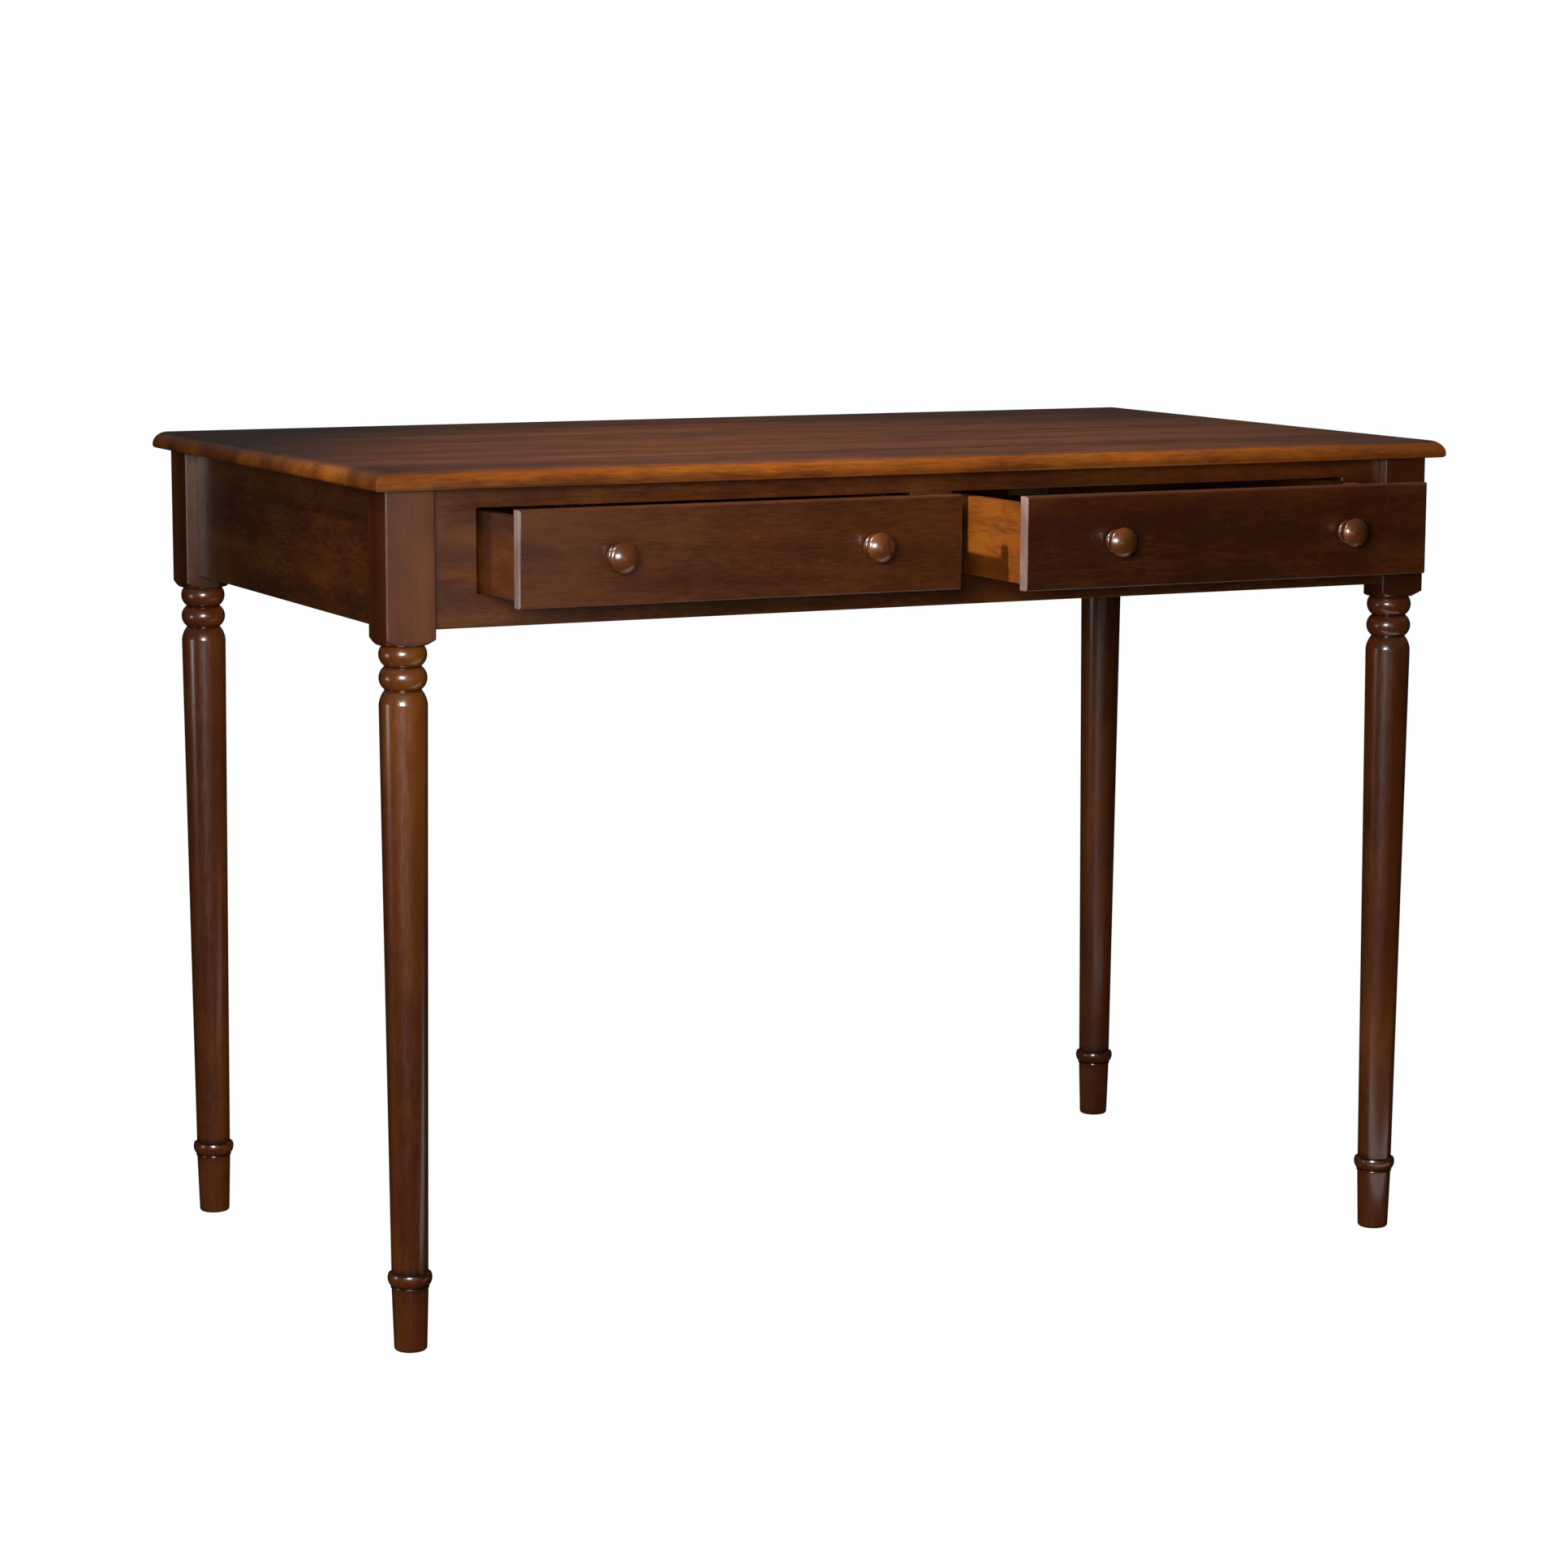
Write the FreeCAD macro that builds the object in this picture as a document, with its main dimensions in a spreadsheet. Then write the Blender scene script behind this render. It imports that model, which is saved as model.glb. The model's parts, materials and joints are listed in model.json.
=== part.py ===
import FreeCAD, Part
import os
import re

import Sketcher

# A writing desk with two drawers over an open kneehole, in millimetres.
# +X is to the sitter's right, +Y goes to the back of the desk, +Z is up and the floor is at zero.
# The drawers stand pulled out, and the origin lies on the floor under the middle of the whole object.

# Every size that can be set by itself, by the name of its cell.
SIZES = {
    # desktop
    "desk_height": 762,
    "top_length": 1067,
    "top_depth": 610,
    "top_thickness": 16,
    "top_overhang": 13.5,
    "top_edge_radius": 12.5,
    "top_under_radius": 3,
    # legs, from the square block at the top down to the foot
    "leg_block": 44.5,
    "leg_chamfer": 12,
    "block_radius": 1.5,
    "block_drop": 12,
    "block_shoulder": 5.3,
    "bead_lap": 1.5,
    "bead_height": 20,
    "bead_dia": 41.4,
    "groove_dia": 31,
    "shaft_shoulder": 12.5,
    "shaft_dia": 41.7,
    "ankle_dia": 32,
    "ring_height": 12,
    "ring_dia": 38.8,
    "foot_height": 57.5,
    "foot_dia": 28.6,
    "foot_radius": 3,
    # aprons and the two drawer openings in the front one
    "apron_height": 119,
    "apron_thickness": 18,
    "apron_recess": 11,
    "upper_rail": 17.5,
    "lower_rail": 29,
    "stile_width": 41.5,
    "divider_width": 42,
    # runners under the drawer sides and kickers above them
    "ledge_width": 16,
    "runner_height": 16,
    "guide_width": 14,
    "guide_height": 20,
    "runner_dowel_radius": 4,
    "runner_dowel_length": 28,
    "top_screw_radius": 2,
    "top_screw_bite": 11,
    "top_screw_sink": 6,
    # corner blocks and what holds the legs to them
    "block_clear": 6,
    "block_leg_gap": 1.5,
    "block_tip_gap": 4,
    "bolt_radius": 4,
    "bolt_end": 4,
    "washer_radius": 9,
    "washer_thickness": 1.6,
    "nut_radius": 7.5,
    "nut_height": 6.5,
    # drawers
    "left_pull": 84,
    "right_pull": 126,
    "front_thickness": 12,
    "front_overlap": 5,
    "front_side_lap": 1,
    "front_radius": 2.5,
    "side_gap": 2.5,
    "running_gap": 0.3,
    "head_gap": 2.7,
    "back_space": 163,
    "side_thickness": 12,
    "back_thickness": 12,
    "bottom_thickness": 4,
    "groove_up": 8,
    "groove_depth": 5,
    "groove_gap": 0.2,
    "dowel_radius": 3,
    "dowel_length": 24,
    "dowel_bite": 7,
    "stop_width": 44,
    "stop_height": 34,
    "stop_thickness": 12,
    "stop_catch": 8,
    "stop_screw_spacing": 24,
    "stop_screw_bite": 8,
    # knobs
    "knob_spacing": 240,
    "knob_dia": 25.8,
    "knob_projection": 22.5,
    "knob_dome_height": 3.8,
    "knob_rim_height": 4,
    "knob_rim_step": 1.4,
    "knob_waist_dia": 13,
    "knob_base_dia": 17,
    "knob_base_height": 1.6,
    "knob_neck_dia": 14,
    "knob_collar_dia": 21,
    "knob_collar_height": 3.6,
    "knob_screw_bite": 14,
    # small fastener sizes, fits and how far a cut runs past what it cuts
    "small_screw_radius": 2,
    "screw_head_radius": 4,
    "screw_head_height": 2.6,
    "hole_gap": 0.1,
    "loose_hole_gap": 0.4,
    "hole_end_gap": 0.5,
    "overrun": 2,
}

# Places along a piece, as parts of its length.
TOP_SCREW_SHARES = (0.14, 0.5, 0.86)
FRONT_DOWEL_SHARES = (0.32, 0.76)
BACK_DOWEL_SHARES = (0.28, 0.72)
SHOULDER_ACROSS_SHARE = 0.74
SHOULDER_DOWN_SHARE = 0.54
FLARE_SHARE = 0.3
COVE_SHARE = 0.25

# Each leg's name, which side and end it stands at, and the turn that points its bolt inwards.
CORNERS = (
    ("front_left", -1, -1, 0),
    ("front_right", 1, -1, 90),
    ("back_right", 1, 1, 180),
    ("back_left", -1, 1, 270),
)
BOLT_ANGLE = 135

# Places that several pieces share, as formulas of the sizes.
HALF_LENGTH = "(top_length / 2 - top_overhang)"
HALF_DEPTH = "(top_depth / 2 - top_overhang)"
UNDER_TOP = "(desk_height - top_thickness)"
APRON_BOTTOM = f"({UNDER_TOP} - apron_height)"
FRONT_APRON_LENGTH = f"(2 * {HALF_LENGTH} - 2 * leg_block)"
SIDE_APRON_LENGTH = f"(2 * {HALF_DEPTH} - 2 * leg_block)"
INNER_DEPTH = f"(2 * {HALF_DEPTH} - 2 * apron_recess - 2 * apron_thickness)"
OPENING_WIDTH = f"({FRONT_APRON_LENGTH} / 2 - stile_width - divider_width / 2)"
OPENING_HEIGHT = "(apron_height - upper_rail - lower_rail)"
OPENING_BOTTOM = f"({APRON_BOTTOM} + lower_rail)"
OPENING_TOP = f"({UNDER_TOP} - upper_rail)"
REACH = f"({HALF_DEPTH} - apron_recess + max(left_pull; right_pull) + front_thickness + knob_projection)"
DESK_MIDDLE = f"(({REACH} - top_depth / 2) / 2)"
APRON_FACE = f"({DESK_MIDDLE} - {HALF_DEPTH} + apron_recess)"
APRON_INSIDE = f"({APRON_FACE} + apron_thickness)"
OPENING_OUTSIDE = f"(divider_width / 2 + {OPENING_WIDTH})"
BLOCK_BOTTOM = f"({APRON_BOTTOM} - block_drop)"
APRON_SEAT = "(apron_recess + apron_thickness - leg_block / 2)"
BLOCK_TIP = "(leg_block / 2 + stile_width - block_tip_gap)"
BLOCK_OUTER = "(leg_block - leg_chamfer + sqrt(2) * block_leg_gap)"
BLOCK_INNER = f"({BLOCK_TIP} + {APRON_SEAT})"
BOLT_HEIGHT = f"(({OPENING_BOTTOM} + guide_height + {OPENING_TOP}) / 2)"
CORNER_BLOCK_HEIGHT = f"({OPENING_HEIGHT} - guide_height - 2 * block_clear)"
BOX_WIDTH = f"({OPENING_WIDTH} - 2 * side_gap)"
BOX_INSIDE = f"({BOX_WIDTH} - 2 * side_thickness)"
BOX_DEPTH = f"({INNER_DEPTH} + apron_thickness - back_space)"
BOX_BOTTOM = f"({OPENING_BOTTOM} + running_gap)"
SIDE_HEIGHT = f"({OPENING_HEIGHT} - running_gap - head_gap)"
FRONT_HEIGHT = f"({OPENING_HEIGHT} + 2 * front_overlap)"
FRONT_WIDTH = f"({OPENING_WIDTH} + 2 * front_side_lap)"
SIDE_UP = "(front_overlap + running_gap)"
GROOVE_TOP = "(groove_up + bottom_thickness + groove_gap)"
BACK_HEIGHT = f"({SIDE_HEIGHT} - groove_up - bottom_thickness)"

doc = FreeCAD.newDocument("kneehole_desk")
sheet = doc.addObject("Spreadsheet::Sheet", "sizes")
nodes = []


def formula(text):
    """The text with each size's name turned into a reference to its cell."""
    def reference(word):
        name = word.group()
        return f"sizes.{name}" if name in SIZES else name
    return re.sub(r"[a-z_]+", reference, text)


def value(text):
    """The number that a formula gives now."""
    return float(sheet.evalExpression(formula(text)))


def place(thing, spot, turn=None):
    """Put a piece at a spot given as three formulas, turned first if a rotation is given."""
    if turn is not None:
        thing.Placement = FreeCAD.Placement(FreeCAD.Vector(0, 0, 0), turn)
    for axis, text in zip("xyz", spot):
        thing.setExpression(f"Placement.Base.{axis}", formula(text))


def new_body(label, spot, turn=None):
    """An empty body that becomes one piece of the desk."""
    body = doc.addObject("PartDesign::Body", label)
    body.Label = label
    place(body, spot, turn)
    nodes.append(body)
    return body


def add_sketch(body, name, plane, lift="0", turn=0):
    """A sketch on one of the body's own planes, lifted along its normal and turned about its upright."""
    sketch = body.newObject("Sketcher::SketchObject", name)
    feature = next(item for item in body.Origin.OriginFeatures if item.Role == plane)
    sketch.AttachmentSupport = [(feature, "")]
    sketch.MapMode = "FlatFace"
    upright = FreeCAD.Vector(0, 1, 0)
    sketch.AttachmentOffset = FreeCAD.Placement(FreeCAD.Vector(0, 0, 0), FreeCAD.Rotation(upright, turn))
    if lift != "0":
        sketch.setExpression("AttachmentOffset.Base.z", formula(lift))
    return sketch


def pin(sketch, side, end, across, up):
    """Tie one point of a sketch to two formulas, or to an axis where a formula is zero."""
    for kind, axis, text in (("DistanceX", -2, across), ("DistanceY", -1, up)):
        if text == "0":
            sketch.addConstraint(Sketcher.Constraint("PointOnObject", side, end, axis))
        else:
            number = sketch.addConstraint(Sketcher.Constraint(kind, -1, 1, side, end, value(text)))
            sketch.setExpression(f"Constraints[{number}]", formula(text))


def spot_on_sketch(corner):
    """A sketch point as a vector, from its two formulas."""
    across, up = corner
    return FreeCAD.Vector(value(across), value(up), 0)


def draw(sketch, corners, arcs=None):
    """A closed outline; arcs gives, by the number of a side, a point that its arc passes through."""
    arcs = arcs or {}
    points = [spot_on_sketch(corner) for corner in corners]
    sides = []
    for number, start in enumerate(points):
        end = points[(number + 1) % len(points)]
        if number in arcs:
            shape = Part.Arc(start, spot_on_sketch(arcs[number]), end)
        else:
            shape = Part.LineSegment(start, end)
        side = sketch.addGeometry(shape, False)
        from_first = sketch.getPoint(side, 1).distanceToPoint(start)
        from_second = sketch.getPoint(side, 2).distanceToPoint(start)
        first = 1 if from_first < from_second else 2
        sides.append((side, first, 3 - first))
    for number, (side, first, last) in enumerate(sides):
        following = sides[(number + 1) % len(sides)]
        sketch.addConstraint(Sketcher.Constraint("Coincident", side, last, following[0], following[1]))
        pin(sketch, side, first, *corners[number])
    for number, corner in arcs.items():
        dot = sketch.addGeometry(Part.Point(spot_on_sketch(corner)), True)
        pin(sketch, dot, 1, *corner)
        sketch.addConstraint(Sketcher.Constraint("PointOnObject", dot, 1, sides[number][0]))


def draw_rectangle(sketch, left, right, low, high):
    """A rectangle between two formulas across and two up."""
    draw(sketch, ((left, low), (right, low), (right, high), (left, high)))


def draw_circles(sketch, centres, radius):
    """Equal circles round centres that are given as formulas."""
    for centre in centres:
        circle = Part.Circle(spot_on_sketch(centre), FreeCAD.Vector(0, 0, 1), value(radius))
        side = sketch.addGeometry(circle, False)
        pin(sketch, side, 3, *centre)
        number = sketch.addConstraint(Sketcher.Constraint("Radius", side, value(radius)))
        sketch.setExpression(f"Constraints[{number}]", formula(radius))


def pad(body, sketch, length, back=False):
    """Thicken a sketch along its normal, or against it."""
    feature = body.newObject("PartDesign::Pad", f"{sketch.Name}_pad")
    feature.Profile = sketch
    feature.setExpression("Length", formula(length))
    feature.Reversed = back
    doc.recompute()
    return feature


def cut(body, feature):
    """Work out a cut that was just added, and make sure that it took something away."""
    before = body.Shape.Volume
    doc.recompute()
    if not body.Shape.Volume < before:
        raise ValueError(f"{feature.Label} cuts nothing from {body.Label}")


def pocket(body, sketch, depth=None, forward=False):
    """Cut a sketch into the body, against its normal unless forward, right through if no depth is given."""
    feature = body.newObject("PartDesign::Pocket", f"{sketch.Name}_pocket")
    feature.Profile = sketch
    if depth is None:
        feature.Type = "ThroughAll"
    else:
        feature.setExpression("Length", formula(depth))
    feature.Reversed = forward
    cut(body, feature)


def drill(body, name, plane, centres, radius, depth=None, forward=False, lift="0", turn=0):
    """Equal round holes at centres on a plane of the body."""
    sketch = add_sketch(body, name, plane, lift, turn)
    draw_circles(sketch, centres, radius)
    pocket(body, sketch, depth, forward)


def round_edges(body, radius, wanted):
    """Round the edges of the body's last feature that the test picks out."""
    tip = body.Tip
    names = [f"Edge{number}" for number, edge in enumerate(tip.Shape.Edges, start=1) if wanted(edge)]
    feature = body.newObject("PartDesign::Fillet", f"{body.Name}_round")
    feature.Base = (tip, names)
    feature.setExpression("Radius", formula(radius))
    doc.recompute()


def level(edge, axis, text):
    """Whether an edge lies all along the height, depth or place across that a formula gives."""
    box = edge.BoundBox
    low = getattr(box, f"{axis}Min")
    high = getattr(box, f"{axis}Max")
    near = value("overrun") / 10
    return abs(low - value(text)) < near and abs(high - value(text)) < near


def stands_upright(edge):
    """Whether an edge runs straight up."""
    return edge.BoundBox.XLength + edge.BoundBox.YLength < value("overrun") / 10


def board(label, corner, size):
    """A plain board from its low corner and its three sizes."""
    piece = doc.addObject("Part::Box", label)
    piece.Label = label
    for side, text in zip(("Length", "Width", "Height"), size):
        piece.setExpression(side, formula(text))
    place(piece, corner)
    nodes.append(piece)
    return piece


def rod(name, radius, length, spot=("0", "0", "0"), turn=None):
    """A round rod along its own +Z."""
    piece = doc.addObject("Part::Cylinder", name)
    piece.setExpression("Radius", formula(radius))
    piece.setExpression("Height", formula(length))
    place(piece, spot, turn)
    return piece


def screw(name, radius, length, spot, turn=None):
    """A pan-head screw whose shank points along its own +Z from under the head."""
    shank = rod(f"{name}_shank", radius, length)
    head = rod(f"{name}_head", "screw_head_radius", "screw_head_height", ("0", "0", "-screw_head_height"))
    piece = doc.addObject("Part::Fuse", name)
    piece.Base = shank
    piece.Tool = head
    place(piece, spot, turn)
    return piece


def group(label, pieces):
    """Like fasteners kept together as one node of separate solids."""
    whole = doc.addObject("Part::Compound", label)
    whole.Label = label
    whole.Links = pieces
    nodes.append(whole)
    return whole


def share_of(length, share):
    """A formula for a share of a length."""
    return f"{length} * {share}"


def fill_sheet():
    """Write every size into its own named cell."""
    for row, (name, number) in enumerate(SIZES.items(), start=1):
        sheet.set(f"A{row}", str(number))
        sheet.setAlias(f"A{row}", name)
    doc.recompute()


def kicker_places():
    """Each kicker's name, the middle of it across the desk and its width."""
    outer_width = "(ledge_width + guide_width)"
    outer_middle = f"({OPENING_OUTSIDE} + (guide_width - ledge_width) / 2)"
    centre_width = "(divider_width + 2 * ledge_width)"
    return (
        ("left_kicker", f"-{outer_middle}", outer_width),
        ("centre_kicker", "0", centre_width),
        ("right_kicker", outer_middle, outer_width),
    )


def top_screw_depths():
    """How far behind the front apron each row of desktop screws stands."""
    return [share_of(INNER_DEPTH, share) for share in TOP_SCREW_SHARES]


def make_desktop():
    """The top board, with its moulded edge and the screw holes below."""
    body = new_body("desktop", ("0", DESK_MIDDLE, UNDER_TOP))
    outline = add_sketch(body, "top_outline", "XY_Plane")
    draw_rectangle(outline, "-top_length / 2", "top_length / 2", "-top_depth / 2", "top_depth / 2")
    pad(body, outline, "top_thickness")
    round_edges(body, "top_edge_radius", lambda edge: level(edge, "Z", "top_thickness"))
    round_edges(body, "top_under_radius", lambda edge: level(edge, "Z", "0"))
    centres = []
    for _, across, _ in kicker_places():
        for behind in top_screw_depths():
            centres.append((across, f"{behind} - {INNER_DEPTH} / 2"))
    drill(body, "top_screw_holes", "XY_Plane", centres, "top_screw_radius + hole_gap",
          "top_screw_bite + hole_end_gap", forward=True)


def make_leg(name, side, end, turn):
    """One leg: a square block over a turned shaft, with the bolt hole in its inner corner."""
    across = f"{side} * ({HALF_LENGTH} - leg_block / 2)"
    behind = f"{DESK_MIDDLE} + {end} * ({HALF_DEPTH} - leg_block / 2)"
    upright = FreeCAD.Vector(0, 0, 1)
    body = new_body(f"leg_{name}", (across, behind, "0"), FreeCAD.Rotation(upright, turn))

    # The block is square, with its inner corner cut off where the bolt goes in.
    flat = "(leg_block / 2)"
    cut_end = "(leg_block / 2 - leg_chamfer)"
    square = add_sketch(body, f"{name}_block", "XY_Plane", BLOCK_BOTTOM)
    draw(square, (
        (f"-{flat}", f"-{flat}"),
        (flat, f"-{flat}"),
        (flat, cut_end),
        (cut_end, flat),
        (f"-{flat}", flat),
    ))
    pad(body, square, f"{UNDER_TOP} - {BLOCK_BOTTOM}")
    round_edges(body, "block_radius", stands_upright)

    # The lathe cuts the block's lower corners back in a cone.
    corner = "(leg_block / sqrt(2))"
    past = f"({corner} + overrun)"
    rise = f"(block_shoulder * ({past} - leg_block / 2) / ({corner} - leg_block / 2))"
    cone = add_sketch(body, f"{name}_cone", "XZ_Plane")
    draw(cone, (
        ("leg_block / 2", BLOCK_BOTTOM),
        (past, f"{BLOCK_BOTTOM} + {rise}"),
        (past, f"{BLOCK_BOTTOM} - overrun"),
        ("leg_block / 2", f"{BLOCK_BOTTOM} - overrun"),
    ))
    groove = body.newObject("PartDesign::Groove", f"{name}_shoulder")
    groove.Profile = cone
    groove.ReferenceAxis = (cone, ["V_Axis"])
    cut(body, groove)

    bead_top = f"({BLOCK_BOTTOM} + bead_lap)"
    bead_middle = f"({bead_top} - bead_height)"
    bead_bottom = f"({bead_top} - 2 * bead_height)"
    shaft_top = f"({bead_bottom} - shaft_shoulder)"
    ring_top = "(foot_height + ring_height)"
    step = "((shaft_dia - groove_dia) / 2)"
    turning = add_sketch(body, f"{name}_turning", "XZ_Plane")
    draw(turning, (
        ("0", "0"),
        ("foot_dia / 2", "0"),
        ("ankle_dia / 2", "foot_height"),
        ("ankle_dia / 2", ring_top),
        ("shaft_dia / 2", shaft_top),
        ("groove_dia / 2", bead_bottom),
        ("groove_dia / 2", bead_middle),
        ("groove_dia / 2", bead_top),
        ("0", bead_top),
    ), {
        2: ("ring_dia / 2", "foot_height + ring_height / 2"),
        4: (f"groove_dia / 2 + {step} * {SHOULDER_ACROSS_SHARE}",
            f"{bead_bottom} - shaft_shoulder * {SHOULDER_DOWN_SHARE}"),
        5: ("bead_dia / 2", f"{bead_bottom} + bead_height / 2"),
        6: ("bead_dia / 2", f"{bead_middle} + bead_height / 2"),
    })
    turned = body.newObject("PartDesign::Revolution", f"{name}_turned")
    turned.Profile = turning
    turned.ReferenceAxis = (turning, ["V_Axis"])
    doc.recompute()
    round_edges(body, "foot_radius", lambda edge: level(edge, "Z", "0"))
    drill(body, f"{name}_bolt_hole", "XZ_Plane", (("0", BOLT_HEIGHT),), "bolt_radius + hole_gap",
          forward=True, turn=BOLT_ANGLE)


def make_front_apron():
    """The front board, with one opening for each drawer and sockets for the runners' dowels."""
    body = new_body("front_apron", ("0", APRON_INSIDE, APRON_BOTTOM))
    outline = add_sketch(body, "front_apron_outline", "XZ_Plane")
    end = f"{FRONT_APRON_LENGTH} / 2"
    draw_rectangle(outline, f"-{end}", end, "0", "apron_height")
    inner = "divider_width / 2"
    high = "apron_height - upper_rail"
    draw_rectangle(outline, f"-{OPENING_OUTSIDE}", f"-{inner}", "lower_rail", high)
    draw_rectangle(outline, inner, OPENING_OUTSIDE, "lower_rail", high)
    pad(body, outline, "apron_thickness")
    centres = [(across, "lower_rail - runner_height / 2") for across in runner_dowel_places()]
    drill(body, "front_dowel_holes", "XZ_Plane", centres, "runner_dowel_radius + hole_gap",
          "runner_dowel_length / 2 + hole_end_gap", forward=True)


def make_back_apron():
    """The back board, with sockets for the runners' dowels."""
    body = new_body("back_apron", ("0", f"{APRON_INSIDE} + {INNER_DEPTH}", APRON_BOTTOM))
    outline = add_sketch(body, "back_apron_outline", "XZ_Plane")
    end = f"{FRONT_APRON_LENGTH} / 2"
    draw_rectangle(outline, f"-{end}", end, "0", "apron_height")
    pad(body, outline, "apron_thickness", back=True)
    centres = [(across, "lower_rail - runner_height / 2") for across in runner_dowel_places()]
    drill(body, "back_dowel_holes", "XZ_Plane", centres, "runner_dowel_radius + hole_gap",
          "runner_dowel_length / 2 + hole_end_gap")


def make_side_apron(name, low_face):
    """A plain board between a front leg and a back leg."""
    board(f"{name}_apron", (low_face, f"{DESK_MIDDLE} - {SIDE_APRON_LENGTH} / 2", APRON_BOTTOM),
          ("apron_thickness", SIDE_APRON_LENGTH, "apron_height"))


def runner_dowel_places():
    """Where the runners' dowels stand across the desk."""
    outer = f"({OPENING_OUTSIDE} + (guide_width - ledge_width) / 2)"
    centre = "(divider_width / 2)"
    return f"-{outer}", f"-{centre}", centre, outer


def make_runner(name, across, section, dowels):
    """A runner from the front apron to the back one, with a dowel socket in each end."""
    body = new_body(f"{name}_runner", (across, APRON_INSIDE, OPENING_BOTTOM))
    outline = add_sketch(body, f"{name}_section", "XZ_Plane")
    draw(outline, section)
    pad(body, outline, INNER_DEPTH, back=True)
    centres = [(middle, "-runner_height / 2") for middle in dowels]
    radius = "runner_dowel_radius + hole_gap"
    depth = "runner_dowel_length / 2 + hole_end_gap"
    drill(body, f"{name}_front_socket", "XZ_Plane", centres, radius, depth)
    drill(body, f"{name}_back_socket", "XZ_Plane", centres, radius, depth, forward=True,
          lift=f"-{INNER_DEPTH}")


def make_runners():
    """Two outer runners of L section and a centre one of T section, and their dowels."""
    for name, side in (("left", -1), ("right", 1)):
        section = (
            (f"{-side} * ledge_width", "0"),
            ("0", "0"),
            ("0", "guide_height"),
            (f"{side} * guide_width", "guide_height"),
            (f"{side} * guide_width", "-runner_height"),
            (f"{-side} * ledge_width", "-runner_height"),
        )
        middle = f"{side} * (guide_width - ledge_width) / 2"
        if value(middle) == 0:
            middle = "0"
        make_runner(name, f"{side} * {OPENING_OUTSIDE}", section, (middle,))
    inner = "divider_width / 2"
    outer = f"({inner} + ledge_width)"
    section = (
        (f"-{outer}", "-runner_height"),
        (outer, "-runner_height"),
        (outer, "0"),
        (inner, "0"),
        (inner, "guide_height"),
        (f"-{inner}", "guide_height"),
        (f"-{inner}", "0"),
        (f"-{outer}", "0"),
    )
    make_runner("centre", "0", section, (f"-{inner}", inner))

    dowels = []
    lengthwise = FreeCAD.Rotation(FreeCAD.Vector(1, 0, 0), -90)
    ends = (("front", APRON_INSIDE), ("back", f"{APRON_INSIDE} + {INNER_DEPTH}"))
    for end, face in ends:
        for number, across in enumerate(runner_dowel_places(), start=1):
            spot = (across, f"{face} - runner_dowel_length / 2", f"{OPENING_BOTTOM} - runner_height / 2")
            dowels.append(rod(f"{end}_runner_dowel_{number}", "runner_dowel_radius", "runner_dowel_length",
                              spot, lengthwise))
    group("runner_dowels", dowels)


def make_kickers():
    """The strips above the drawer sides, and the screws that go up through them into the desktop."""
    screws = []
    for name, across, width in kicker_places():
        body = new_body(name, (across, APRON_INSIDE, OPENING_TOP))
        outline = add_sketch(body, f"{name}_outline", "XY_Plane")
        draw_rectangle(outline, f"-{width} / 2", f"{width} / 2", "0", INNER_DEPTH)
        pad(body, outline, "upper_rail")
        centres = [("0", behind) for behind in top_screw_depths()]
        drill(body, f"{name}_holes", "XY_Plane", centres, "top_screw_radius + loose_hole_gap", forward=True)
        drill(body, f"{name}_sinks", "XY_Plane", centres, "screw_head_radius + loose_hole_gap",
              "top_screw_sink", forward=True)
        for number, behind in enumerate(top_screw_depths(), start=1):
            spot = (across, f"{APRON_INSIDE} + {behind}", f"{OPENING_TOP} + top_screw_sink")
            screws.append(screw(f"{name}_screw_{number}", "top_screw_radius",
                                "upper_rail - top_screw_sink + top_screw_bite", spot))
    group("top_screws", screws)


def make_corner_block(name, side, end, turn):
    """The block glued across a corner of the frame, which the leg's bolt passes through."""
    across = f"{side} * ({HALF_LENGTH} - leg_block / 2)"
    behind = f"{DESK_MIDDLE} + {end} * ({HALF_DEPTH} - leg_block / 2)"
    upright = FreeCAD.Vector(0, 0, 1)
    bottom = f"{BOLT_HEIGHT} - {CORNER_BLOCK_HEIGHT} / 2"
    body = new_body(f"corner_block_{name}", (across, behind, bottom), FreeCAD.Rotation(upright, turn))
    outline = add_sketch(body, f"{name}_corner_outline", "XY_Plane")
    draw(outline, (
        (f"{BLOCK_OUTER} - {APRON_SEAT}", APRON_SEAT),
        (BLOCK_TIP, APRON_SEAT),
        (APRON_SEAT, BLOCK_TIP),
        (APRON_SEAT, f"{BLOCK_OUTER} - {APRON_SEAT}"),
    ))
    pad(body, outline, CORNER_BLOCK_HEIGHT)
    drill(body, f"{name}_corner_hole", "XZ_Plane", (("0", f"{CORNER_BLOCK_HEIGHT} / 2"),),
          "bolt_radius + loose_hole_gap", forward=True, turn=BOLT_ANGLE)


def ring(name, outer, length, spot, turn):
    """A round or six-sided piece with the bolt's hole through it."""
    bore = rod(f"{name}_bore", "bolt_radius + hole_gap", length)
    piece = doc.addObject("Part::Cut", name)
    piece.Base = outer
    piece.Tool = bore
    place(piece, spot, turn)
    return piece


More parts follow.
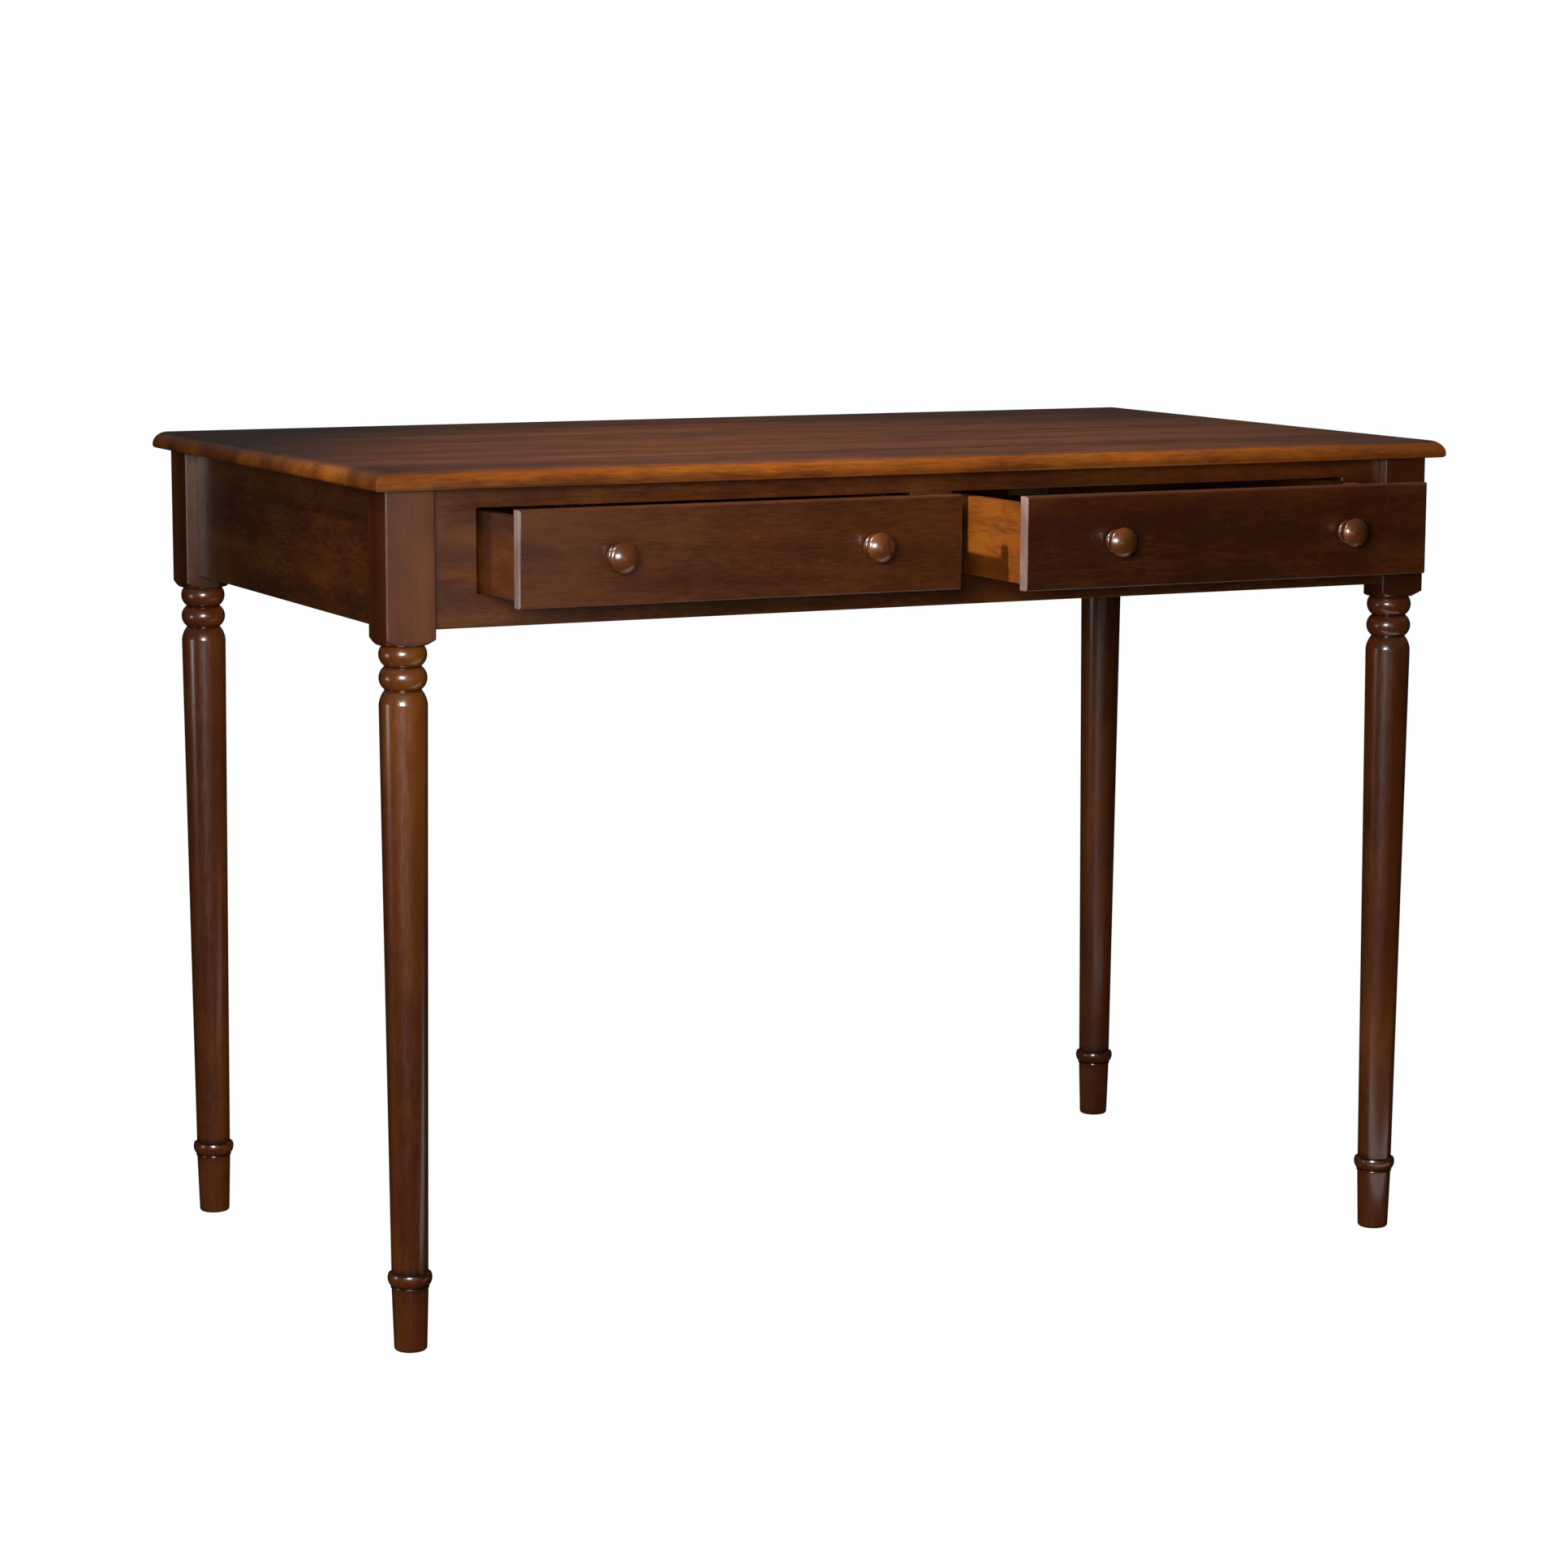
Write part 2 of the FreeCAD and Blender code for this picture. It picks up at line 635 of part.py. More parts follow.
def make_leg_fasteners():
    """A hanger bolt in each leg, with its washer and nut against the corner block."""
    bolts = []
    washers = []
    nuts = []
    seat = f"({BLOCK_INNER} / sqrt(2))"
    nut_seat = f"({seat} + washer_thickness)"
    for name, side, end, turn in CORNERS:
        upright = FreeCAD.Vector(0, 0, 1)
        inwards = FreeCAD.Vector(1, 1, 0)
        aim = FreeCAD.Rotation(upright, turn).multiply(FreeCAD.Rotation(upright, inwards))

        def along(distance):
            """The spot on the bolt's line at a distance from the leg's middle."""
            step = f"{distance} / sqrt(2)"
            across = f"{side} * ({HALF_LENGTH} - leg_block / 2 - {step})"
            behind = f"{DESK_MIDDLE} + {end} * ({HALF_DEPTH} - leg_block / 2 - {step})"
            return across, behind, BOLT_HEIGHT

        length = f"{nut_seat} + nut_height + bolt_end - hole_end_gap"
        bolts.append(rod(f"{name}_bolt", "bolt_radius", length, along("hole_end_gap"), aim))
        disc = rod(f"{name}_washer_disc", "washer_radius", "washer_thickness")
        washers.append(ring(f"{name}_washer", disc, "washer_thickness", along(seat), aim))
        prism = doc.addObject("Part::Prism", f"{name}_nut_prism")
        prism.Polygon = 6
        prism.setExpression("Circumradius", formula("nut_radius"))
        prism.setExpression("Height", formula("nut_height"))
        nuts.append(ring(f"{name}_nut", prism, "nut_height", along(nut_seat), aim))
    group("leg_bolts", bolts)
    group("leg_washers", washers)
    group("leg_nuts", nuts)


def make_drawer_front(name, across, behind):
    """The front board: rounded edges, a groove for the bottom, dowel sockets and knob holes."""
    bottom = f"{OPENING_BOTTOM} - front_overlap"
    body = new_body(f"{name}_front", (across, behind, bottom))
    outline = add_sketch(body, f"{name}_front_outline", "XZ_Plane")
    draw_rectangle(outline, f"-{FRONT_WIDTH} / 2", f"{FRONT_WIDTH} / 2", "0", FRONT_HEIGHT)
    pad(body, outline, "front_thickness")
    round_edges(body, "front_radius", lambda edge: level(edge, "Y", "-front_thickness"))
    groove_end = f"({BOX_INSIDE} / 2 + groove_depth)"
    groove = add_sketch(body, f"{name}_front_groove", "XZ_Plane")
    low = f"{SIDE_UP} + groove_up"
    high = f"{SIDE_UP} + {GROOVE_TOP}"
    draw_rectangle(groove, f"-{groove_end}", groove_end, low, high)
    pocket(body, groove, "groove_depth", forward=True)
    middle = f"({BOX_WIDTH} / 2 - side_thickness / 2)"
    sockets = []
    for share in FRONT_DOWEL_SHARES:
        up = f"{SIDE_UP} + {share_of(SIDE_HEIGHT, share)}"
        sockets.append((f"-{middle}", up))
        sockets.append((middle, up))
    drill(body, f"{name}_front_sockets", "XZ_Plane", sockets, "dowel_radius + hole_gap",
          "dowel_bite + hole_end_gap", forward=True)
    knobs = [(f"{side} * knob_spacing / 2", f"{FRONT_HEIGHT} / 2") for side in (-1, 1)]
    drill(body, f"{name}_knob_holes", "XZ_Plane", knobs, "small_screw_radius + loose_hole_gap",
          forward=True)


def make_drawer_side(name, hand, side, across, behind):
    """A side board: a groove for the bottom, and dowel sockets at its front end and near its back."""
    inner = f"{across} + {side} * {BOX_INSIDE} / 2"
    body = new_body(f"{name}_{hand}_side", (inner, behind, BOX_BOTTOM))
    outer = f"{side} * side_thickness"
    deep = f"{side} * groove_depth"
    outline = add_sketch(body, f"{name}_{hand}_section", "XZ_Plane")
    draw(outline, (
        ("0", "0"),
        (outer, "0"),
        (outer, SIDE_HEIGHT),
        ("0", SIDE_HEIGHT),
        ("0", GROOVE_TOP),
        (deep, GROOVE_TOP),
        (deep, "groove_up"),
        ("0", "groove_up"),
    ))
    pad(body, outline, BOX_DEPTH, back=True)
    ends = [(f"{outer} / 2", share_of(SIDE_HEIGHT, share)) for share in FRONT_DOWEL_SHARES]
    drill(body, f"{name}_{hand}_end_sockets", "XZ_Plane", ends, "dowel_radius + hole_gap",
          "dowel_length - dowel_bite + hole_end_gap")
    backs = []
    for share in BACK_DOWEL_SHARES:
        up = f"groove_up + bottom_thickness + {share_of(BACK_HEIGHT, share)}"
        backs.append((f"{BOX_DEPTH} - back_thickness / 2", up))
    drill(body, f"{name}_{hand}_back_sockets", "YZ_Plane", backs, "dowel_radius + hole_gap",
          "dowel_bite + hole_end_gap", forward=side > 0)


def make_drawer_back(name, across, behind):
    """The back board, which stands on the bottom between the sides."""
    face = f"{behind} + {BOX_DEPTH} - back_thickness"
    body = new_body(f"{name}_back", (across, face, f"{BOX_BOTTOM} + groove_up + bottom_thickness"))
    outline = add_sketch(body, f"{name}_back_outline", "XZ_Plane")
    draw_rectangle(outline, f"-{BOX_INSIDE} / 2", f"{BOX_INSIDE} / 2", "0", BACK_HEIGHT)
    pad(body, outline, "back_thickness", back=True)
    sockets = [("back_thickness / 2", share_of(BACK_HEIGHT, share)) for share in BACK_DOWEL_SHARES]
    for hand, side in (("left", -1), ("right", 1)):
        drill(body, f"{name}_back_{hand}_sockets", "YZ_Plane", sockets, "dowel_radius + hole_gap",
              "dowel_length - dowel_bite + hole_end_gap", forward=side < 0,
              lift=f"{side} * {BOX_INSIDE} / 2")
    lap = "(stop_height - stop_catch - head_gap)"
    up = f"{BACK_HEIGHT} - {lap} / 2"
    holes = [(f"{side} * stop_screw_spacing / 2", up) for side in (-1, 1)]
    drill(body, f"{name}_back_screw_holes", "XZ_Plane", holes, "small_screw_radius + hole_gap",
          "stop_screw_bite + hole_end_gap")


def make_drawer_bottom(name, across, behind):
    """The thin bottom board, held in the grooves of the front and the sides."""
    overhang = "(groove_depth - groove_gap)"
    left = f"{across} - {BOX_INSIDE} / 2 - {overhang}"
    corner = (left, f"{behind} - {overhang}", f"{BOX_BOTTOM} + groove_up")
    size = (f"{BOX_INSIDE} + 2 * {overhang}", f"{BOX_DEPTH} + {overhang}", "bottom_thickness")
    board(f"{name}_bottom", corner, size)


def make_drawer_dowels(name, across, behind):
    """The dowels that hold the front and the back to the sides."""
    dowels = []
    lengthwise = FreeCAD.Rotation(FreeCAD.Vector(1, 0, 0), -90)
    crosswise = FreeCAD.Rotation(FreeCAD.Vector(0, 1, 0), 90)
    for hand, side in (("left", -1), ("right", 1)):
        middle = f"{across} + {side} * ({BOX_WIDTH} / 2 - side_thickness / 2)"
        for number, share in enumerate(FRONT_DOWEL_SHARES, start=1):
            spot = (middle, f"{behind} - dowel_bite", f"{BOX_BOTTOM} + {share_of(SIDE_HEIGHT, share)}")
            dowels.append(rod(f"{name}_{hand}_front_dowel_{number}", "dowel_radius", "dowel_length",
                              spot, lengthwise))
        inner = f"{across} + {side} * ({BOX_INSIDE} / 2 + dowel_bite - dowel_length / 2) - dowel_length / 2"
        for number, share in enumerate(BACK_DOWEL_SHARES, start=1):
            up = f"{BOX_BOTTOM} + groove_up + bottom_thickness + {share_of(BACK_HEIGHT, share)}"
            spot = (inner, f"{behind} + {BOX_DEPTH} - back_thickness / 2", up)
            dowels.append(rod(f"{name}_{hand}_back_dowel_{number}", "dowel_radius", "dowel_length",
                              spot, crosswise))
    group(f"{name}_dowels", dowels)


def make_knob(name, hand, across, behind):
    """A turned knob: flared base, collar bead, and a cap with a rounded rim and a low dome."""
    middle = f"{OPENING_BOTTOM} + {OPENING_HEIGHT} / 2"
    body = new_body(f"{name}_{hand}_knob", (across, f"{behind} - front_thickness", middle))
    collar_end = "(knob_base_height + knob_collar_height)"
    rim_top = "(knob_projection - knob_dome_height)"
    rim_low = f"({rim_top} - knob_rim_height)"
    rim_edge = "(knob_dia / 2 - knob_rim_step)"
    waist = "(knob_waist_dia / 2)"
    flare = f"(knob_neck_dia + (knob_base_dia - knob_neck_dia) * {FLARE_SHARE}) / 2"
    cove = f"({waist} + ({rim_edge} - {waist}) * {COVE_SHARE})"
    sphere = f"(({rim_edge} ^ 2 + knob_dome_height ^ 2) / (2 * knob_dome_height))"
    dome_rise = f"(sqrt({sphere} ^ 2 - ({rim_edge} / 2) ^ 2) - {sphere} + knob_dome_height)"
    turning = add_sketch(body, f"{name}_{hand}_knob_turning", "XY_Plane")
    draw(turning, (
        ("0", "0"),
        ("knob_base_dia / 2", "0"),
        ("knob_neck_dia / 2", "-knob_base_height"),
        (waist, f"-{collar_end}"),
        (rim_edge, f"-{rim_low}"),
        (rim_edge, f"-{rim_top}"),
        ("0", "-knob_projection"),
    ), {
        1: (flare, "-knob_base_height / 2"),
        2: ("knob_collar_dia / 2", "-knob_base_height - knob_collar_height / 2"),
        3: (cove, f"-({collar_end} + {rim_low}) / 2"),
        4: ("knob_dia / 2", f"-({rim_low} + {rim_top}) / 2"),
        5: (f"{rim_edge} / 2", f"-{rim_top} - {dome_rise}"),
    })
    turned = body.newObject("PartDesign::Revolution", f"{name}_{hand}_knob_turned")
    turned.Profile = turning
    turned.ReferenceAxis = (turning, ["V_Axis"])
    doc.recompute()
    drill(body, f"{name}_{hand}_knob_hole", "XZ_Plane", (("0", "0"),), "small_screw_radius + hole_gap",
          "knob_screw_bite + hole_end_gap", forward=True)


def make_drawer_stop(name, across, behind):
    """The block on the drawer's back that catches behind the front apron's upper rail."""
    face = f"{behind} + {BOX_DEPTH} - back_thickness"
    body = new_body(f"{name}_stop", (across, face, f"{OPENING_TOP} + stop_catch - stop_height"))
    outline = add_sketch(body, f"{name}_stop_outline", "XZ_Plane")
    draw_rectangle(outline, "-stop_width / 2", "stop_width / 2", "0", "stop_height")
    pad(body, outline, "stop_thickness")
    up = "(stop_height - stop_catch - head_gap) / 2"
    holes = [(f"{side} * stop_screw_spacing / 2", up) for side in (-1, 1)]
    drill(body, f"{name}_stop_holes", "XZ_Plane", holes, "small_screw_radius + loose_hole_gap",
          forward=True)
    backwards = FreeCAD.Rotation(FreeCAD.Vector(1, 0, 0), -90)
    screws = []
    for number, side in enumerate((-1, 1), start=1):
        spot = (f"{across} + {side} * stop_screw_spacing / 2", f"{face} - stop_thickness",
                f"{OPENING_TOP} + stop_catch - stop_height + {up}")
        screws.append(screw(f"{name}_stop_screw_{number}", "small_screw_radius",
                            "stop_thickness + stop_screw_bite", spot, backwards))
    group(f"{name}_stop_screws", screws)


def make_drawer(name, side, pull):
    """One drawer, pulled out of its opening by the given size."""
    across = f"{side} * (divider_width / 2 + {OPENING_WIDTH} / 2)"
    behind = f"({APRON_FACE} - {pull})"
    make_drawer_front(name, across, behind)
    hands = (("left", -1), ("right", 1))
    for hand, direction in hands:
        make_drawer_side(name, hand, direction, across, behind)
    make_drawer_back(name, across, behind)
    make_drawer_bottom(name, across, behind)
    make_drawer_dowels(name, across, behind)
    make_drawer_stop(name, across, behind)
    outwards = FreeCAD.Rotation(FreeCAD.Vector(1, 0, 0), 90)
    screws = []
    for hand, direction in hands:
        knob_across = f"{across} + {direction} * knob_spacing / 2"
        make_knob(name, hand, knob_across, behind)
        spot = (knob_across, behind, f"{OPENING_BOTTOM} + {OPENING_HEIGHT} / 2")
        screws.append(screw(f"{name}_{hand}_knob_screw", "small_screw_radius",
                            "front_thickness + knob_screw_bite", spot, outwards))
    group(f"{name}_knob_screws", screws)


def check_and_write():
    """Make sure that every object worked out, then write one file for each node."""
    doc.recompute()
    for item in doc.Objects:
        if "Invalid" in item.State or "Error" in item.State:
            raise ValueError(f"{item.Label} failed: {item.State}")
    for node in nodes:
        if node.Shape.isNull() or not node.Shape.isValid() or not node.Shape.Solids:
            raise ValueError(f"{node.Label} has no sound shape")
    os.makedirs("parts", exist_ok=True)
    for node in nodes:
        node.Shape.exportStep(f"parts/{node.Label}.step")
    print(f"{len(nodes)} nodes written")


fill_sheet()
make_desktop()
for corner in CORNERS:
    make_leg(*corner)
make_front_apron()
make_back_apron()
make_side_apron("left", f"-{HALF_LENGTH} + apron_recess")
make_side_apron("right", f"{HALF_LENGTH} - apron_recess - apron_thickness")
make_runners()
make_kickers()
for corner in CORNERS:
    make_corner_block(*corner)
make_leg_fasteners()
make_drawer("left_drawer", -1, "left_pull")
make_drawer("right_drawer", 1, "right_pull")
check_and_write()
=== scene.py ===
# %% [markdown]
# # A dark writing desk with two drawers
# The desk has a moulded top, four turned legs, plain aprons and two drawers that stand half open.
# A CAD program has already made every piece at its true size, and this lesson dresses that model.
# Each piece but the dowels is modelled again with softer edges and finer turning, gets a stained finish,
# and takes the place of the plain CAD piece, so the drawers still slide as the CAD model says. The dowels
# keep their CAD shape and only get a finish. Lengths are in metres.

# %% Load the CAD model
import json
import math

import bpy
from mathutils import Matrix, Vector

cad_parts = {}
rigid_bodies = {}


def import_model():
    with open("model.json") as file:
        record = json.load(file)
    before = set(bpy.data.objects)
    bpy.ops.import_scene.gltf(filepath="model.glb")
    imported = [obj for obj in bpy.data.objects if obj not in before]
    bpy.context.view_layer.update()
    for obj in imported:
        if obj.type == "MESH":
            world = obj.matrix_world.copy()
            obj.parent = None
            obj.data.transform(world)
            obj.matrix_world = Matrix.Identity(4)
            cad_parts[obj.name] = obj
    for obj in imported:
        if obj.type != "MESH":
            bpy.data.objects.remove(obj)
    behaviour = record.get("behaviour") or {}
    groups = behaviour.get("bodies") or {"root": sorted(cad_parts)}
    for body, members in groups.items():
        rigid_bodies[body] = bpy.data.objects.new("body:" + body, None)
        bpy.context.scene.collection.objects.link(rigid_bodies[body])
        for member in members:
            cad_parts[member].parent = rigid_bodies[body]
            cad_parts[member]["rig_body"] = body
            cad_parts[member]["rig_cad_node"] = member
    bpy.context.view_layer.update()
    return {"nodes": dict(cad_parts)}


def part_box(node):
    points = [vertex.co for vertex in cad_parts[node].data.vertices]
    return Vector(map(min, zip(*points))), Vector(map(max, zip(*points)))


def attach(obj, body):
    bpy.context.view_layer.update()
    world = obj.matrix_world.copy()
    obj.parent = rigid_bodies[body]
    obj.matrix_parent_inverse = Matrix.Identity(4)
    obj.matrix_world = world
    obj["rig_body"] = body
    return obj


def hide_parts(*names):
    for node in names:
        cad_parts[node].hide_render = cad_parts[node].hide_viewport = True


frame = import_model()

# %% [markdown]
# ## The camera
# The photograph was taken from the front left, only 25 cm above the height of the top, with a long lens.
# Matching the desk's corners to the picture gave the camera's place and its turns, which are in radians.
# The picture was cropped a little off the middle of the lens, and the two small shifts repeat that.

# %% Place the camera
IMAGE_SIZE = 1932
SENSOR_WIDTH = 36
FOCAL_PIXELS = 5094.06
CAMERA_SPOT = Vector((-1.72757, -3.46016, 1.01217))
CAMERA_TURN_RIGHT = 0.4549
CAMERA_TILT_DOWN = 0.1602
CAMERA_ROLL = 0.0033
CROP_RIGHT_PIXELS = -7.15
CROP_UP_PIXELS = 64.36

bpy.ops.object.select_all(action="DESELECT")
bpy.ops.object.camera_add(location=CAMERA_SPOT)
camera = bpy.context.active_object
level_turn = Matrix.Rotation(-CAMERA_TURN_RIGHT, 3, "Z")
tilt = Matrix.Rotation(math.pi / 2 - CAMERA_TILT_DOWN, 3, "X")
roll = Matrix.Rotation(CAMERA_ROLL, 3, "Z")
camera.rotation_euler = (level_turn @ tilt @ roll).to_euler()
camera.data.sensor_width = SENSOR_WIDTH
camera.data.lens = SENSOR_WIDTH * FOCAL_PIXELS / IMAGE_SIZE
camera.data.shift_x = CROP_RIGHT_PIXELS / IMAGE_SIZE
camera.data.shift_y = CROP_UP_PIXELS / IMAGE_SIZE
bpy.context.scene.camera = camera
bpy.context.scene.view_settings.view_transform = "Standard"
print("Lens in millimetres:", round(camera.data.lens, 1))

# %% [markdown]
# ## The studio
# The desk stands on a white floor in a white world. A satin top seen at so low an angle is almost a
# mirror, so, as photographers do, a dark cloth hangs round and over the set and lies on the floor, where
# only reflections can find it. A long oval of white floor stays open before the desk and draws the pale
# lines on the drawers' lower edges. The cloth is a little brighter towards its upper rim, so its
# reflection in the top fades softly. It starts as an open tube: its lower rim is drawn in to the oval and
# its upper rim is closed. Operators act on all that is selected, so two helpers select only what is meant.

# %% Helpers for selecting
def make_active(piece):
    """Select one piece and nothing else."""
    bpy.ops.object.select_all(action="DESELECT")
    piece.select_set(True)
    bpy.context.view_layer.objects.active = piece


def select_edges(piece, wanted):
    """Go to edit mode with just those edges selected whose two end points pass a test."""
    make_active(piece)
    bpy.ops.object.mode_set(mode="EDIT")
    bpy.ops.mesh.select_mode(type="EDGE")
    bpy.ops.mesh.select_all(action="DESELECT")
    bpy.ops.object.mode_set(mode="OBJECT")
    points = piece.data.vertices
    for edge in piece.data.edges:
        edge.select = wanted(points[edge.vertices[0]].co, points[edge.vertices[1]].co)
    bpy.ops.object.mode_set(mode="EDIT")


# %% Floor, background and dark cloth
FLOOR_SIZE = 60
FLOOR_COLOUR = (0.45, 0.45, 0.45, 1)
FLOOR_GLOW_SHARE = 0.995
AMBIENT = 0.05
CLOTH_SIDES = 64
CLOTH_RADIUS = 3.4
CLOTH_HEIGHT = 2.4
CLOTH_LIFT = 0.0005
CLOTH_HOLE_RADII = Vector((0.6, 0.13, 0))
CLOTH_HOLE_SPOT = Vector((0.3, -0.43, 0))
CLOTH_GLOW = (0.005, 0.08)
CLOTH_FADE_START = 0.75


def seen_directly(tree):
    """One where the camera, a reflection or a view through glass looks, and nothing for other light."""
    path = tree.nodes.new("ShaderNodeLightPath")
    total = path.outputs["Is Camera Ray"]
    for name in ("Is Glossy Ray", "Is Transmission Ray"):
        adder = tree.nodes.new("ShaderNodeMath")
        adder.operation = "ADD"
        adder.use_clamp = True
        tree.links.new(total, adder.inputs[0])
        tree.links.new(path.outputs[name], adder.inputs[1])
        total = adder.outputs[0]
    return total


def floor_finish():
    """A grey floor that the camera and reflections see as white."""
    finish = bpy.data.materials.new("studio_floor")
    finish.use_nodes = True
    tree = finish.node_tree
    tree.nodes.clear()
    paper = tree.nodes.new("ShaderNodeBsdfDiffuse")
    paper.inputs["Color"].default_value = FLOOR_COLOUR
    glow = tree.nodes.new("ShaderNodeEmission")
    share = tree.nodes.new("ShaderNodeMath")
    share.operation = "MULTIPLY"
    share.inputs[1].default_value = FLOOR_GLOW_SHARE
    mix = tree.nodes.new("ShaderNodeMixShader")
    output = tree.nodes.new("ShaderNodeOutputMaterial")
    tree.links.new(seen_directly(tree), share.inputs[0])
    tree.links.new(share.outputs[0], mix.inputs[0])
    tree.links.new(paper.outputs[0], mix.inputs[1])
    tree.links.new(glow.outputs[0], mix.inputs[2])
    tree.links.new(mix.outputs[0], output.inputs["Surface"])
    return finish


def white_world():
    """A world that looks white and gives a little soft light."""
    world = bpy.data.worlds.new("white_studio")
    world.use_nodes = True
    tree = world.node_tree
    background = tree.nodes["Background"]
    strength = tree.nodes.new("ShaderNodeMapRange")
    strength.inputs["To Min"].default_value = AMBIENT
    tree.links.new(seen_directly(tree), strength.inputs["Value"])
    background.inputs["Color"].default_value = (1, 1, 1, 1)
    tree.links.new(strength.outputs["Result"], background.inputs["Strength"])
    bpy.context.scene.world = world


def cloth_finish():
    """A nearly black finish that glows a little more towards the upper rim."""
    finish = bpy.data.materials.new("dark_cloth")
    finish.use_nodes = True
    tree = finish.node_tree
    tree.nodes.clear()
    place = tree.nodes.new("ShaderNodeTexCoord")
    height = tree.nodes.new("ShaderNodeSeparateXYZ")
    tree.links.new(place.outputs["Object"], height.inputs[0])
    fade = tree.nodes.new("ShaderNodeMapRange")
    fade.inputs["From Min"].default_value = CLOTH_FADE_START - CLOTH_HEIGHT / 2
    fade.inputs["From Max"].default_value = CLOTH_HEIGHT / 2
    fade.inputs["To Min"].default_value = CLOTH_GLOW[0]
    fade.inputs["To Max"].default_value = CLOTH_GLOW[1]
    tree.links.new(height.outputs["Z"], fade.inputs["Value"])
    dusk = tree.nodes.new("ShaderNodeEmission")
    tree.links.new(fade.outputs["Result"], dusk.inputs["Strength"])
    output = tree.nodes.new("ShaderNodeOutputMaterial")
    tree.links.new(dusk.outputs[0], output.inputs["Surface"])
    return finish


def dark_cloth():
    """Cloth round and over the set and on the floor, with one opening, that only reflections see."""
    bpy.ops.object.select_all(action="DESELECT")
    bpy.ops.mesh.primitive_cylinder_add(
        vertices=CLOTH_SIDES, radius=CLOTH_RADIUS, depth=CLOTH_HEIGHT, end_fill_type="NOTHING",
        location=(0, 0, CLOTH_LIFT + CLOTH_HEIGHT / 2))
    cloth = bpy.context.active_object
    cloth.name = "dark_cloth"
    select_edges(cloth, lambda a, b: max(a.z, b.z) < 0)
    bpy.ops.mesh.extrude_region_move()
    inward = CLOTH_HOLE_RADII / CLOTH_RADIUS
    bpy.ops.transform.resize(value=(inward.x, inward.y, 1), center_override=(0, 0, 0))
    bpy.ops.transform.translate(value=CLOTH_HOLE_SPOT)
    bpy.ops.object.mode_set(mode="OBJECT")
    select_edges(cloth, lambda a, b: min(a.z, b.z) > 0)
    bpy.ops.mesh.edge_face_add()
    bpy.ops.object.mode_set(mode="OBJECT")
    cloth.data.materials.append(cloth_finish())
    cloth.visible_camera = False
    cloth.visible_diffuse = False
    cloth.visible_shadow = False
    cloth.visible_transmission = False
    return cloth


bpy.ops.object.select_all(action="DESELECT")
bpy.ops.mesh.primitive_plane_add(size=FLOOR_SIZE)
floor = bpy.context.active_object
floor.name = "floor"
floor.data.materials.append(floor_finish())
white_world()
dark_cloth()
print("Studio:", floor.name, "and", bpy.context.scene.world.name)

# %% [markdown]
# ## The lamps
# In the photograph a small bright lamp stands at the left, half way up the sky: it draws the crisp
# shadow of the top along the left apron and lights the open drawer's side. A soft box near the camera
# gives the round highlights on the beads and knobs. A dim card straight before the desk leaves a haze
# on the drawer fronts that fades from left to right, and a small card at the left draws the edges.
# A last soft box behind the desk lights its back for anyone who walks round it.

# %% Hang the lamps
KEY_SPOT = (-1.6, -0.2, 2.36)
KEY_TARGET = (0.02, -0.06, 0.74)
KEY_POWER = 520
KEY_CONE = math.radians(27)
KEY_SIZE = 0.05


def aim(lamp, target):
    """Turn a lamp towards a point and hide it from the camera."""
    lamp.rotation_euler = (Vector(target) - lamp.location).to_track_quat("-Z", "Y").to_euler()
    lamp.visible_camera = False


def soft_box(name, spot, target, width, height, power, spread):
    """A lamp with an oblong face at a spot, aimed at a target and hooded to a spread in degrees."""
    bpy.ops.object.select_all(action="DESELECT")
    bpy.ops.object.light_add(type="AREA", location=spot)
    lamp = bpy.context.active_object
    lamp.name = name
    lamp.data.shape = "RECTANGLE"
    lamp.data.size = width
    lamp.data.size_y = height
    lamp.data.energy = power
    lamp.data.spread = math.radians(spread)
    aim(lamp, target)
    return lamp


bpy.ops.object.select_all(action="DESELECT")
bpy.ops.object.light_add(type="SPOT", location=KEY_SPOT)
key_lamp = bpy.context.active_object
key_lamp.name = "key_lamp"
key_lamp.data.energy = KEY_POWER
key_lamp.data.spot_size = KEY_CONE
key_lamp.data.spot_blend = 1
key_lamp.data.shadow_soft_size = KEY_SIZE
aim(key_lamp, KEY_TARGET)
soft_box("front_soft_box", spot=(-1.3, -1.95, 1.05), target=(-0.2, -0.2, 0.5),
         width=0.7, height=0.5, power=28, spread=150)
soft_box("front_card", spot=(-0.15, -2.2, 0.62), target=(-0.15, 0, 0.62),
         width=0.9, height=0.6, power=1.0, spread=180)
soft_box("left_card", spot=(-2.33, 0.1, 0.5), target=(-0.4, -0.2, 0.6),
         width=0.45, height=0.45, power=3.2, spread=180)
back_box = soft_box("back_soft_box", spot=(1.2, 2.3, 0.9), target=(0.1, 0.2, 0.5),
                    width=1.5, height=1, power=30, spread=120)
back_box.visible_glossy = False

# %% [markdown]
# ## Stained wood
# All the wood is the same pale timber under different coats of stain, so one recipe makes every finish.
# Noise drawn out along the grain gives broad bands, fine fibres and short flecks, as the knife leaves
# them in veneer. The stain colours them, and rounder lumps of noise make it blotchy, mottled and in places
# golden. The fibres also set the roughness and, with the flecks, a shallow bump, as pores do under lacquer.

# %% Helpers for node patterns
GRAIN_AXES = {"x": 0, "y": 1, "z": 2}
RAMP_START = 0.395
RAMP_LENGTH = 0.21


def join(tree, value, socket):
    """Feed a socket from another node's output, or set it to a plain number or colour."""
    if isinstance(value, bpy.types.NodeSocket):
        tree.links.new(value, socket)
    else:
        socket.default_value = value


def calculate(tree, operation, first, second):
    """A Math node's result."""
    node = tree.nodes.new("ShaderNodeMath")
    node.operation = operation
    join(tree, first, node.inputs[0])
    join(tree, second, node.inputs[1])
    return node.outputs[0]


